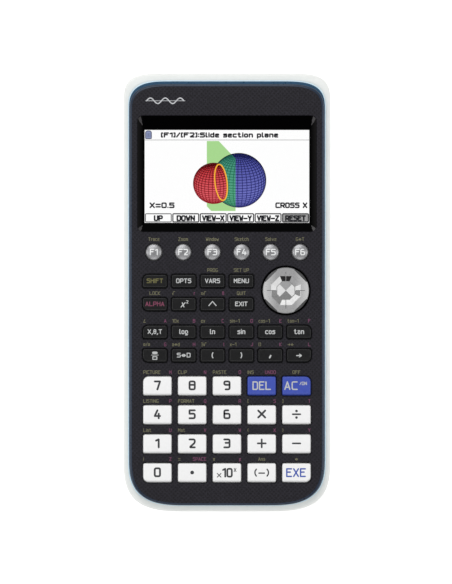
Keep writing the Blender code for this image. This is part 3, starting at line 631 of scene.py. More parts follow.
def make_rear_case():
    """The white shell: battery bay, screw bosses, sockets, lid grooves, hinge slots, thumb notch and pin hole."""
    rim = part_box("rear_case")[1].z
    bm = bmesh.new()
    rings = [at(case_outline(*BODY, inset=i), SHELL_BOTTOM + drop) for i, drop in reversed(arc(4.0 * MM, 8))]
    rings += [at(case_outline(*BODY, inset=i), rim - drop) for i, drop in arc(0.9 * MM, 5)]
    rings += [at(case_outline(*CAVITY), rim), at(case_outline(*CAVITY), FLOOR_TOP)]
    loft(bm, rings, True, True)
    obj = object_of("rear_case_shell", closed(bm))
    walls = [
        slab([side + SEAT_WALL for side in SEAT], SHELL_ROOT, SEAT_WALL_TOP),
        slab([side + BAY_WALL for side in BAY], SHELL_ROOT, BAY_WALL_TOP),
    ]
    cut(obj, "UNION", walls + [cylinder_bm(place, BOSS_RADIUS, SHELL_ROOT, BOSS_TOP, 32) for place in SCREWS])
    hinge = BAY_Y + SEAT[1] - COVER_GAP
    cuts = [
        slab(BAY, -BEYOND, BAY_ROOF), slab(SEAT, -BEYOND, SEAT_ROOF),
        cylinder_bm((0, BAY_Y - SEAT[1]), 6 * MM, -BEYOND, 1.4 * MM),
        box_bm(mm(6.0, 89.2, 4.7), mm(14.0, 95.25, 8.5)),
        cylinder_bm(mm(-12, 6.0), 1.9 * MM, *mm(89.2, 95.25), 40, "y"),
    ]
    for side in (-1, 1):
        x = side * TAB_X
        low, high = (x - 3.3 * MM, hinge - 1.5 * MM, 1.0 * MM), (x + 3.3 * MM, hinge + 1.8 * MM, 2.8 * MM)
        cuts.append(box_bm(low, high))
        inner, outer = sorted((side * 43.6, side * 45.5))
        cuts.append(box_bm(mm(inner, -68, 6.6), mm(outer, 80, 8.0)))
    for place in SCREWS:
        cuts.append(cylinder_bm(place, 2.6 * MM, -BEYOND, 3.2 * MM, 32))
        cuts.append(cylinder_bm(place, 1.2 * MM, -BEYOND, BOSS_TOP + BEYOND, 20))
    cuts.append(cylinder_bm(mm(20, 2), 0.8 * MM, -BEYOND, FLOOR_TOP + BEYOND, 20))
    cut(obj, "DIFFERENCE", cuts)
    finish_piece(obj, WHITE_LOOK, nodes=["rear_case"])
    for index, foot in enumerate(FEET):
        pad = turned_bm([mm(3.6, 0.0), mm(3.9, 0.12), mm(4.0, 0.3), (4.0 * MM, SHELL_BOTTOM)])
        bmesh.ops.translate(pad, verts=pad.verts, vec=(foot.x, foot.y, 0))
        finish_piece(object_of(f"foot_pad_{index + 1}", closed(pad)), RUBBER_LOOK)


# A case screw's outline, in millimetres: the radius and the height, from its face to its tip.
SCREW_PROFILE = ((0.2, 1.55), (1.9, 1.65), (2.3, 1.9), (2.35, 2.5), (2.2, 2.9), (1.05, 3.0), (1.05, 8.0))


def make_screws():
    """Countersunk cross-head screws, sunk in the back. Each stops at its own angle."""
    for index, place in enumerate(SCREWS):
        turned = turned_bm([mm(*point) for point in SCREW_PROFILE], 32)
        screw = object_of(f"case_screw_{index + 1}", closed(turned))
        slots = []
        for turn in (0.3 + index, 0.3 + index + math.pi / 2):
            bar = box_bm(mm(-1.35, -0.28, 1.0), mm(1.35, 0.28, 2.4))
            bmesh.ops.rotate(bar, verts=bar.verts, matrix=Matrix.Rotation(turn, 3, "Z"))
            slots.append(bar)
        cut(screw, "DIFFERENCE", slots)
        screw.data.transform(Matrix.Translation((*place, 0)))
        finish_piece(screw, STEEL_LOOK)


COVER_WIDE, COVER_TALL = 47.4 * MM, 55.4 * MM


def make_battery_cover():
    """A thin cover with two tabs at one end, and at the other a latch tongue with grip grooves and an arrow."""
    low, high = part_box("battery_cover")
    bm = bmesh.new()
    rings = [(inset, low.z + drop) for inset, drop in reversed(arc(0.35 * MM, 4))] + [(0.0, high.z)]
    sides = [(COVER_WIDE - 2 * inset, COVER_TALL - 2 * inset, z) for inset, z in rings]
    outlines = [at(rounded_rectangle(w, h, [0.6 * MM] * 4, 5, (0, BAY_Y)), z) for w, h, z in sides]
    loft(bm, outlines, True, True)
    obj = object_of("battery_cover_panel", closed(bm))
    tab, slit = 3 * MM, 0.3 * MM
    cut(obj, "UNION", [
        box_bm((x - tab, high.y - 1.9 * MM, 1.15 * MM), (x + tab, high.y, 1.73 * MM)) for x in (-TAB_X, TAB_X)
    ])
    end = BAY_Y - COVER_TALL / 2
    cuts = [
        box_bm((x - slit, end - BEYOND, -BEYOND), (x + slit, end + 7 * MM, 3 * MM)) for x in (-LATCH_X, LATCH_X)
    ]
    for row in range(5):
        y = end + (1.6 + 1.1 * row) * MM
        cuts.append(box_bm((-4.6 * MM, y - 0.22 * MM, 0), (4.6 * MM, y + 0.22 * MM, 0.8 * MM)))
    arrow, tip = bmesh.new(), end + 14 * MM
    outline = [(-2.6 * MM, tip - 3 * MM), (2.6 * MM, tip - 3 * MM), (0, tip)]
    loft(arrow, [at(outline, 0), at(outline, 0.75 * MM)], True, True)
    cut(obj, "DIFFERENCE", cuts + [arrow])
    finish_piece(obj, WHITE_LOOK, "battery_cover", ["battery_cover"])


# ---------------------------------------------------------------- keys

STEM_RADIUS, FLANGE_CORNER = 1.5 * MM, 0.3 * MM
FLANGE_LOW, FLANGE_TOP = 14.6 * MM, 15.4 * MM
# How far a cap's edge reaches in, and how far it drops, at the sides and at the near edge.
LARGE_EDGE, LARGE_NEAR = (0.6 * MM, 0.6 * MM), (1.3 * MM, 1.7 * MM)
SMALL_EDGE, SMALL_NEAR = (0.5 * MM, 0.5 * MM), (0.8 * MM, 0.8 * MM)
DOME, DOME_EDGE, DOME_GAP = 0.7 * MM, 0.2 * MM, 0.12 * MM


def key_ring(node, share, edge, near):
    """One ring of a cap's rounded edge. share runs from 0 at the wall to 1 at the flat top."""
    inset, drop = 1 - math.cos(math.pi / 2 * share), 1 - math.sin(math.pi / 2 * share)
    outline = [Vector(point) for point in key_outline(node, 0, middle=False)]
    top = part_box(node)[1].z
    ring = []
    for i, point in enumerate(outline):
        along = (outline[(i + 1) % len(outline)] - outline[i - 1]).normalized()
        out = Vector((along.y, -along.x))
        low = max(0.0, -out.y) ** 2
        reach, fall = [a + (b - a) * low for a, b in zip(edge, near)]
        ring.append((*(point - out * reach * inset), top - fall * drop))
    return ring


def finish_cap(node, bm, angle, looks):
    bmesh.ops.translate(bm, verts=bm.verts, vec=(*centre(node).xy, 0))
    finish_piece(object_of(node + "_cap", closed(bm), angle), looks, node, [node])


def make_block_key(node, look, edge, near):
    """A rectangular key: its stem, its flange, and a cap with rounded edges, deeper on the near side."""
    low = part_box(node)[0]
    stem = circle(STEM_RADIUS, len(key_outline(node, 0)))
    flange = rounded_rectangle(size(node).x, size(node).y, [FLANGE_CORNER] * 4, KEY_CORNER_STEPS)
    wall = at(key_outline(node, 0, middle=False), FLANGE_TOP)
    bm = bmesh.new()
    under = [at(stem, low.z), at(stem, FLANGE_LOW), at(flange, FLANGE_LOW), at(flange, FLANGE_TOP)]
    loft(bm, under, True, slot=1)
    loft(bm, [at(flange, FLANGE_TOP), wall] + [key_ring(node, step / 7, edge, near) for step in range(8)],
         end_cap=True)
    finish_cap(node, bm, 35, [look, FLANGE_SHADE_LOOK])


def dome_height(node):
    """The level of a round key's dome at a point."""
    middle, top = centre(node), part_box(node)[1].z
    radius = size(node).x / 2 - LIP
    return lambda x, y: top - DOME * ((x - middle.x) ** 2 + (y - middle.y) ** 2) / radius ** 2 + LEGEND_LIFT


def make_function_key(node):
    """A round key: its stem, its flange, and a shallow dome with a rounded edge."""
    low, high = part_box(node)
    lip, radius = size(node).x / 2, size(node).x / 2 - LIP - DOME_GAP
    rim = high.z - DOME - DOME_EDGE
    base = [(STEM_RADIUS, low.z), (STEM_RADIUS, FLANGE_LOW), (lip, FLANGE_LOW), (lip, FLANGE_TOP)]
    cap = [(lip, FLANGE_TOP), (radius, FLANGE_TOP)]
    cap += [(radius - inset, rim + DOME_EDGE - drop) for inset, drop in arc(DOME_EDGE, 3)]
    shares = [(1 - DOME_EDGE / radius) * (1 - step / 12) for step in range(1, 12)] + [0.004]
    cap += [(radius * share, high.z - DOME * share ** 2) for share in shares]
    bm = bmesh.new()
    loft(bm, [at(circle(r, ROUND_KEY_SIDES), z) for r, z in base], True, slot=1)
    loft(bm, [at(circle(r, ROUND_KEY_SIDES), z) for r, z in cap], end_cap=True)
    finish_cap(node, bm, 25, [SILVER_LOOK, FLANGE_SHADE_LOOK])


# The cursor pad's profile: share of its radius, and height over its middle level.
PAD_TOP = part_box("cursor_pad")[1].z - 0.35 * MM
PAD_CENTRE_RISE, PAD_VALLEY, PAD_RIDGE, PAD_CREST = -0.12 * MM, -0.5 * MM, 0.12 * MM, 0.35 * MM
PAD_INNER, PAD_OUTER, PAD_LIP, PAD_STEM = 0.405, 0.625, 0.02, 0.85
PAD_POINT, PAD_POINT_RISE = PAD_INNER - 0.03, -0.43 * MM
# The flat crest reaches this far where it is round, and this far at the middle of each chamfer.
PAD_EDGE, PAD_ROUND, PAD_CHORD, CHAMFER_SLOPE = 0.985, 0.965, 0.885, 0.4
PAD_PROFILE = (
    (0.0, PAD_CENTRE_RISE), (PAD_POINT, PAD_POINT_RISE), (PAD_INNER, PAD_VALLEY),
    (PAD_OUTER, 0.0), (PAD_OUTER + PAD_LIP, PAD_RIDGE), (PAD_ROUND, PAD_CREST), (1.0, 0.0),
)
# The pad's printed marks: the quarter turn from the right, and where along its radius each starts and ends.
PAD_MARKS = ((0, 0.44, 0.82), (2, 0.44, 0.82), (3, 0.38, 0.78), (1, 0.72, 0.80))
PAD_SPLIT, PAD_MARK_WIDTH = ((1, 0.38, 0.64),), 0.2 * MM
PAD_CREASE = 7
# Material slots of the pad. SHADED, BRIGHT, MIDDLING and DARK are painted shade and painted highlight on the one
# plated finish.
PLAIN, UNDER, SHADED, BRIGHT, MIDDLING, DARK = range(6)
# Facets of the eight-sided groove, from the right and counterclockwise: before and after their middles. Each
# takes a copy of the plating in painted highlight, painted shade or plain.
PAD_FACETS = (
    (MIDDLING, BRIGHT), (PLAIN, PLAIN), (DARK, DARK), (BRIGHT, BRIGHT),
    (BRIGHT, MIDDLING), (MIDDLING, MIDDLING), (BRIGHT, BRIGHT), (BRIGHT, BRIGHT),
)
# The middle's right, top, left and bottom faces: painted highlight, plain, painted highlight and painted half
# shade.
PAD_POINTS = (BRIGHT, PLAIN, BRIGHT, MIDDLING)


def pad_height(x, y):
    share = math.hypot(x - PAD_MIDDLE.x, y - PAD_MIDDLE.y) / PAD_RADIUS
    for (low, start), (high, end) in zip(PAD_PROFILE, PAD_PROFILE[1:]):
        if share <= high:
            return PAD_TOP + start + (end - start) * (share - low) / (high - low) + LEGEND_LIFT
    return PAD_TOP


def make_cursor_pad():
    """A plated disc with four chamfers, an eight-sided groove and a four-faced middle, its facets in painted
    shade and painted highlight.
    """
    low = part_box("cursor_pad")[0]
    turns = [2 * math.pi * i / PAD_SIDES for i in range(PAD_SIDES)]

    def ring(share, level):
        points = []
        for a in turns:
            r = PAD_RADIUS * (share(a) if callable(share) else share)
            points.append((r * math.cos(a), r * math.sin(a), level(a) if callable(level) else level))
        return points

    def eight(apothem):
        step = math.pi / 4
        return lambda a: apothem / math.cos((a + step / 2) % step - step / 2)

    def chord(a):
        off = a % (math.pi / 2) - math.pi / 4
        return min(PAD_ROUND, PAD_CHORD / math.cos(off))

    def edge_level(a):
        return PAD_TOP + PAD_CREST - 0.1 * MM - CHAMFER_SLOPE * (PAD_EDGE - chord(a)) * PAD_RADIUS

    lip, (flange_low, flange_top) = size("cursor_pad").x / 2 / PAD_RADIUS, PAD_FLANGE
    side = [
        ring(PAD_STEM, low.z), ring(PAD_STEM, flange_low), ring(lip, flange_low), ring(lip, flange_top),
        ring(1.0, flange_top), ring(1.0, lambda a: edge_level(a) - 0.3 * MM),
    ]
    face_rings = [
        ring(PAD_EDGE, edge_level), ring(chord, PAD_TOP + PAD_CREST),
        ring(eight(PAD_OUTER + PAD_LIP), PAD_TOP + PAD_RIDGE), ring(eight(PAD_OUTER), PAD_TOP),
        ring(eight(PAD_INNER), PAD_TOP + PAD_VALLEY), ring(eight(PAD_POINT), PAD_TOP + PAD_POINT_RISE),
        ring(0.01, PAD_TOP + PAD_CENTRE_RISE),
    ]
    bm = bmesh.new()
    under = len(side) - 1
    chamfer, groove, valley, point = (under, under + 1), under + 4, under + 5, under + 6
    # Painted light: the chamfers take painted shade, and the groove, valley and middle faces take lit or shaded
    # copies of the plating.
    for row, faces in enumerate(loft(bm, side + face_rings, True, True)):
        for i, face in enumerate(faces):
            a = turns[i] + math.pi / PAD_SIDES
            eighth = (a / (math.pi / 4) + 0.5) % 8
            if row < under:
                face.material_index = UNDER
            elif row in chamfer and chord(a) < PAD_ROUND - 0.005:
                face.material_index = SHADED
            elif row == groove:
                face.material_index = PAD_FACETS[int(eighth)][int(eighth % 1 > 0.5)]
            elif row == valley:
                face.material_index = MIDDLING
            elif row == point:
                face.material_index = PAD_POINTS[int((a / (math.pi / 2) + 0.5) % 4)]
    bmesh.ops.translate(bm, verts=bm.verts, vec=(*PAD_MIDDLE, 0))
    # The black key finish here is painted dark shade on the groove's upper facets.
    pad_looks = [CHROME_LOOK, FLANGE_SHADE_LOOK, PAD_PAINTED_SHADE_LOOK, PAD_PAINTED_HIGHLIGHT_LOOK, PAD_PAINTED_HALF_SHADE_LOOK, BLACK_KEY_LOOK]
    plated = object_of("cursor_pad_plated", closed(bm), PAD_CREASE)
    finish_piece(plated, pad_looks, "cursor_pad", ["cursor_pad"])
    for name, look, lines in (
        ("legend_pad_lines", INK_LOOKS["dark"], PAD_MARKS), ("legend_pad_split", CHROME_LOOK, PAD_SPLIT),
    ):
        bm = bmesh.new()
        for turn, start, end in lines:
            out = Vector((math.cos(turn * math.pi / 2), math.sin(turn * math.pi / 2)))
            line = [PAD_MIDDLE + out * PAD_RADIUS * share for share in (start, end)]
            ribbon(bm, fine_line(line, PAD_MARK_WIDTH), PAD_MARK_WIDTH, False, pad_height)
        finish_piece(object_of(name, bm), look, "cursor_pad")


# ---------------------------------------------------------------- legends

# A mark's capital height and its place from the key's middle are in millimetres, and its weight is the stroke's
# share of that height. The mark "dot" is a disc, whose diameter is the first number.
Mark = namedtuple("Mark", "text capital dx dy weight narrow slant", defaults=(0, 0, 0.185, 1.0, 0))


def word(text, capital=1.65, dx=0, dy=0.15, narrow=1.2):
    return [Mark(text, capital, dx, dy, 0.22, narrow)]


INK_LOOKS = {
    ink: looks("ink_" + ink, colour, roughness, mottle=mottle, bump=bump)
    for ink, colour, roughness, mottle, bump in (
        ("dark", (0.030, 0.032, 0.036), 0.5, 0.1, 0.08), ("pale", (0.82, 0.83, 0.83), 0.45, 0.02, 0.0),
        ("white", (0.50, 0.51, 0.51), 0.5, 0.05, 0.08), ("blue", (0.038, 0.085, 0.40), 0.5, 0.08, 0.08),
        ("olive", (0.135, 0.125, 0.040), 0.5, 0.12, 0.08), ("rose", (0.185, 0.035, 0.08), 0.5, 0.12, 0.08),
        ("yellow", (0.155, 0.148, 0.08), 0.5, 0.12, 0.08), ("pink", (0.165, 0.038, 0.10), 0.5, 0.12, 0.08),
        ("grey", (0.50, 0.51, 0.53), 0.5, 0.1, 0.08),
    )
}
LARGE_LEGENDS = {
    "key_multiply": [Mark("*", 5.2, 0, 0.73, 0.16)],
    "key_divide": [Mark("-", 5.7, 0, 0.67, 0.125), Mark("dot", 1.1, 0, 1.65), Mark("dot", 1.1, 0, -1.15)],
    "key_add": [Mark("+", 5.95, 0, 0.69, 0.125)], "key_subtract": [Mark("-", 5.7, 0, 0.67, 0.125)],
    "key_point": [Mark("dot", 1.6, 0, 0.15)],
    "key_exponent": [
        Mark("*", 2.8, -3.35, -0.85, 0.13), Mark("10", 3.35, 0.2, 0.05, 0.225), Mark("x", 1.9, 3.5, 1.5, 0.17),
    ],
    "key_negative": [Mark("(-)", 2.95, 0, 0.1, 0.19, 1.4)],
    "key_execute": [Mark("EXE", 3.25, -0.2, 0.1, 0.185, 1.08)],
    "key_delete": [Mark("DEL", 3.2, 0, 0.15, 0.17, 1.03)],
    "key_clear": [Mark("AC", 3.2, -2.35, 0.15, 0.17, 1.16), Mark("/ON", 1.25, 2.9, 1.1, 0.2, 1.1)],
}
SMALL_LEGENDS = {
    "key_shift": word("SHIFT"), "key_options": word("OPTS"), "key_variables": word("VARS"),
    "key_menu": word("MENU"), "key_alpha": word("ALPHA"), "key_exit": word("EXIT"),
    "key_square": [Mark("x", 2.5, -0.5, 0.1, 0.17, 1.15, 0.25), Mark("2", 1.1, 1.5, 1.0, 0.24, 1.1)],
    "key_power": [Mark("^", 4.2, 0, -0.9, 0.095, 1.3)],
    "key_x_variable": word("X,t/,T"), "key_log": word("log", 1.8), "key_ln": word("ln", 1.8),
    "key_sin": word("sin", 1.8), "key_cos": word("cos", 1.8), "key_tan": word("tan", 1.8),
    "key_fraction": [
        Mark("-", 3.0, 0, 1.35, 0.36, 0.75), Mark("-", 4.0, 0, 0.45, 0.06, 1.3),
        Mark("#", 2.0, 0, -0.95, 0.19, 2.0),
    ],
    "key_convert": word("S<D", narrow=1.4),
    "key_open_bracket": [Mark("(", 2.2, 0, 0.1, 0.2)], "key_close_bracket": [Mark(")", 2.2, 0, 0.1, 0.2)],
    "key_comma": [Mark(",", 3.2, 0, 1.55, 0.2)], "key_store": [Mark(">", 2.1, 0, 0.1, 0.2, 1.4)],
}
# Printed on the face above each key: the shifted function, and at the right the letter.
SHIFTED = {
    "key_f1": ("Trace", ""), "key_f2": ("Zoom", ""), "key_f3": ("Window", ""), "key_f4": ("Sketch", ""),
    "key_f5": ("Solve", ""), "key_f6": ("G<T", ""),
    "key_variables": ("PROG", ""), "key_menu": ("SET UP", ""), "key_alpha": ("LOCK", ""),
    "key_square": ("r/", "r"), "key_power": ("xr/", "t/"), "key_exit": ("QUIT", ""),
    "key_x_variable": ("@", "A"), "key_log": ("10x", "B"), "key_ln": ("ex", "C"), "key_sin": ("sin-1", "D"),
    "key_cos": ("cos-1", "E"), "key_tan": ("tan-1", "F"), "key_fraction": ("#/#", "G"),
    "key_convert": ("a<d", "H"), "key_open_bracket": ("3r/", "I"), "key_close_bracket": ("x-1", "J"),
    "key_comma": ("[]", "K"), "key_store": ("><", "L"),
    "key_7": ("PICTURE", "M"), "key_8": ("CLIP", "N"), "key_9": ("PASTE", "O"), "key_delete": ("INS", "UNDO"),
    "key_clear": ("OFF", ""), "key_4": ("LISTING", "P"), "key_5": ("FORMAT", "Q"), "key_6": ("", "R"),
    "key_multiply": ("[", "S"), "key_divide": ("]", "T"), "key_1": ("List", "U"), "key_2": ("Mat", "V"),
    "key_3": ("", "W"), "key_add": ("(", "X"), "key_subtract": (")", "Y"), "key_0": ("i", "Z"),
    "key_point": ("=", "SPACE"), "key_exponent": ("p/", "q"), "key_negative": ("Ans", ""),
    "key_execute": ("<", ""),
}


def legend(node, marks, ink, height):
    bm = bmesh.new()
    middle = centre(node)
    for mark in marks:
        x, y = middle.x + mark.dx * MM, middle.y + mark.dy * MM
        if mark.text == "dot":
            disc = circle(mark.capital * MM / 2, 24, (x, y))
            bm.faces.new([bm.verts.new((*point, height(*point))) for point in disc])
            continue
        write(bm, mark.text, x, y, mark.capital * MM, mark.weight, height, narrow=mark.narrow, slant=mark.slant)
    obj = object_of("legend_" + node[4:], bm)
    finish_piece(obj, INK_LOOKS[ink], node)


def flat(level):
    return lambda x, y: level


def make_keys():
    for node in FUNCTION_KEYS:
        make_function_key(node)
        legend(node, [Mark(node[4:].upper(), 2.3, 0, 0, 0.2, 1.15)], "pale", dome_height(node))
    for node in SMALL_KEYS:
        make_block_key(node, BLACK_KEY_LOOK, SMALL_EDGE, SMALL_NEAR)
        ink = {"key_shift": "olive", "key_alpha": "rose"}.get(node, "white")
        legend(node, SMALL_LEGENDS[node], ink, flat(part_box(node)[1].z + LEGEND_LIFT))
    for node in LARGE_KEYS:
        blue = node in ("key_delete", "key_clear")
        make_block_key(node, BLUE_KEY_LOOK if blue else WHITE_KEY_LOOK, LARGE_EDGE, LARGE_NEAR)
        marks = LARGE_LEGENDS.get(node) or [Mark(node[4:], 3.4, 0, 0.25, 0.24, 1.16)]
        ink = "white" if blue else "blue" if node == "key_execute" else "dark"
        legend(node, marks, ink, flat(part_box(node)[1].z + LEGEND_LIFT))


PRINT_CAPITAL, PRINT_WEIGHT, PRINT_NARROW, PRINT_INDENT = 1.35 * MM, 0.16, 1.05, 0.3 * MM
# The emblem is a wave on a line, in millimetres: its left end, level, length, swing, number of waves and steps.
WAVE_LEFT, WAVE_LEVEL, WAVE_LENGTH, WAVE_SWING, WAVES, WAVE_STEPS = -34.5, 82.4, 16.0, 1.2, 2.5, 48
WAVE_STROKE, AXIS_STROKE, AXIS_LIFT, AXIS_BEYOND = 0.5 * MM, 0.22 * MM, 0.006 * MM, 0.5


def make_face_print():
    level = FACE_TOP + LEGEND_LIFT
    prints = {"print_shifted": (bmesh.new(), "yellow"), "print_letters": (bmesh.new(), "pink")}
    for node, words in SHIFTED.items():
        middle, half = centre(node), size(node).x / 2 - LIP
        above = 2.15 if node in FUNCTION_KEYS else 1.85 if node in LARGE_KEYS else 1.95
        y = middle.y + size(node).y / 2 - LIP + above * MM
        places = (middle.x - half + PRINT_INDENT, "left"), (middle.x + half - PRINT_INDENT, "right")
        if not words[1]:
            places = ((middle.x, "centre"),)
        for text, (x, align), (bm, _) in zip(words, places, prints.values()):
            if text:
                write(bm, text, x, y, PRINT_CAPITAL, PRINT_WEIGHT, flat(level), align, PRINT_NARROW)
    for name, (bm, ink) in prints.items():
        finish_piece(object_of(name, bm), INK_LOOKS[ink])
    mark = bmesh.new()
    wave = []
    for share in (step / WAVE_STEPS for step in range(WAVE_STEPS + 1)):
        rise = WAVE_SWING * math.sin(2 * math.pi * WAVES * share)
        wave.append(Vector((WAVE_LEFT + WAVE_LENGTH * share, WAVE_LEVEL + rise)) * MM)
    ribbon(mark, wave, WAVE_STROKE, False, flat(level))
    ends = WAVE_LEFT - AXIS_BEYOND, WAVE_LEFT + WAVE_LENGTH + AXIS_BEYOND
    axis = [Vector((x, WAVE_LEVEL)) * MM for x in ends]
    ribbon(mark, axis, AXIS_STROKE, False, flat(level + AXIS_LIFT))
    finish_piece(object_of("emblem_wave", mark), INK_LOOKS["grey"])


# ---------------------------------------------------------------- display

CELL, CELL_GAP = 0.184 * MM, 0.012 * MM
WINDOW_ALPHA = 0.06
SCREEN_GLOW = 1.1 / (1 - WINDOW_ALPHA)
CELL_SHARES = (("Color1", 1.0), ("Color2", 0.97), ("Mortar", 0.86))


def shade(*values):
    """A display colour given from 0 to 255, as linear light."""
    shares = [value / 255 for value in values]
    return [share / 12.92 if share <= 0.04045 else ((share + 0.055) / 1.055) ** 2.4 for share in shares]


def screen_look(name, values, upper=None, span=(0, 1)):
    """A lit picture: it only glows, and a fine grid of cells darkens it slightly.

    Where upper is given, the colour blends to it between two heights on the screen.
    """
    made, shader, place = new_material(name)
    colour = shade(*values)
    grid = {
        "Vector": place["Object"], "Scale": 1, "Brick Width": CELL, "Row Height": CELL, "Mortar Size": CELL_GAP,
    }
    for socket, share in CELL_SHARES:
        grid[socket] = (*[share * channel for channel in colour], 1)
    if upper:
        split = add_node(made, "SeparateXYZ", {"Vector": place["Object"]})
        share = add_node(made, "MapRange", {
            "Value": split.outputs["Y"], "From Min": span[0], "From Max": span[1],
        })
        grid["Color1"] = mix_colour(made, (*colour, 1), (*shade(*upper), 1), share.outputs["Result"])
        grid["Color2"] = grid["Color1"]
    cells = add_node(made, "TexBrick", grid, offset=0)
    set_inputs(made, shader, {
        "Emission Color": cells.outputs["Color"], "Emission Strength": SCREEN_GLOW, "Base Color": (0, 0, 0, 1),
        "Specular IOR Level": 0.0,
    })
    return made


PICTURE_SIZE = (70.8 * MM, 39.9 * MM)
PICTURE_MIDDLE = (0, 50.0 * MM)
PICTURE_STEP = 0.02 * MM
RED_MIDDLE, RED_RADIUS = Vector((-5.7, 47.0)) * MM, 8.7 * MM
BLUE_MIDDLE, BLUE_RADIUS = Vector((5.15, 48.3)) * MM, 11.6 * MM
CUT_MIDDLE, CUT_AXES, CUT_TILT = Vector((-2.55, 47.4)) * MM, (2.6 * MM, 7.8 * MM), math.radians(6.5)
CUT_PLANE = ((-8.65, 65.2), (-8.65, 37.1), (-6.7, 35.1), (3.7, 35.1), (3.7, 57.6), (-3.5, 65.2))
PLANE_RIGHT, PLANE_TOP, PLANE_SLOPE = Vector((3.7, 57.6)) * MM, Vector((-3.5, 65.2)) * MM, Vector((7.6, 7.2))
GRID_TILT, GRID_LINE, BALL_EDGE = math.radians(18), 0.3 * MM, 0.35 * MM
BALL_SIDES, FIRST_MERIDIAN, BLUE_GRID, RED_GRID = 96, 0.13, (36, 30), (32, 26)
TITLE, LABEL_RISE, SOFT_KEY_TALL = "[F1]/[F2]:Slide section plane", 7.5 * MM, 4.0 * MM
SOFT_KEYS = (("UP", 3.9), ("DOWN", 8.0), ("VIEW-X", 9.7), ("VIEW-Y", 9.7), ("VIEW-Z", 9.7), ("RESET", 9.0))


def picture_piece(name, bm, *look):
    """A piece of the picture, in the colours that screen_look takes."""
    finish_piece(object_of(name, bm), screen_look(*look))


def on_cut(angle):
    """A point of the section's ellipse."""
    point = Vector((CUT_AXES[0] * math.cos(angle), CUT_AXES[1] * math.sin(angle)))
    return CUT_MIDDLE + Matrix.Rotation(CUT_TILT, 2) @ point


def in_red(point):
    """True left of the far side of the section's ellipse."""
    across, along = Matrix.Rotation(-CUT_TILT, 2) @ (point - CUT_MIDDLE)
    if abs(along) > CUT_AXES[1]:
        return across < 0
    return across < CUT_AXES[0] * math.sqrt(1 - (along / CUT_AXES[1]) ** 2)


def on_plane(point):
    """True where the cutting plane lies behind the blue ball."""
    return point.x < PLANE_RIGHT.x and (point - PLANE_TOP).dot(PLANE_SLOPE) < 0


def clipped(points, corner, out):
    """The polygon's part on the inner side of the line through corner with this outward direction."""
    kept = []
    for i, point in enumerate(points):
        after = points[(i + 1) % len(points)]
        here, there = (point - corner).dot(out), (after - corner).dot(out)
        if here <= 0:
            kept.append(point)
        if here * there < 0:
            kept.append(point.lerp(after, here / (here - there)))
    return kept


def ball_lines(middle, radius, height, meridians, parallels, keep):
    """Meridians and parallels of a ball, seen from a little above its equator, where keep(point) is true."""
    lines = []
    for turn in (2 * math.pi * i / meridians + FIRST_MERIDIAN for i in range(meridians)):
        lines.append([(math.radians(-90 + 3 * step), turn) for step in range(61)])
    for rise in (math.pi * (i / parallels - 0.5) for i in range(1, parallels)):
        lines.append([(rise, 2 * math.pi * step / 144) for step in range(145)])
    bm = bmesh.new()
    for line in lines:
        runs = [[]]
        for rise, turn in line:
            x, y, z = math.cos(rise) * math.sin(turn), math.sin(rise), math.cos(rise) * math.cos(turn)
            up = y * math.cos(GRID_TILT) - z * math.sin(GRID_TILT)
            near = z * math.cos(GRID_TILT) + y * math.sin(GRID_TILT)
            point = middle + Vector((x, up)) * radius
            if near > 0 and keep(point):
                runs[-1].append(point)
            else:
                runs.append([])
        for run in runs:
            if len(run) > 2:
                ribbon(bm, run, GRID_LINE, False, height)
    return bm


def disc_points(middle, radius):
    return [middle + Vector(point) for point in circle(radius, BALL_SIDES)]


def picture_face(name, points, level, *look):
    bm = bmesh.new()
    bm.faces.new([bm.verts.new((*point, level)) for point in points])
    picture_piece(name, bm, *look)


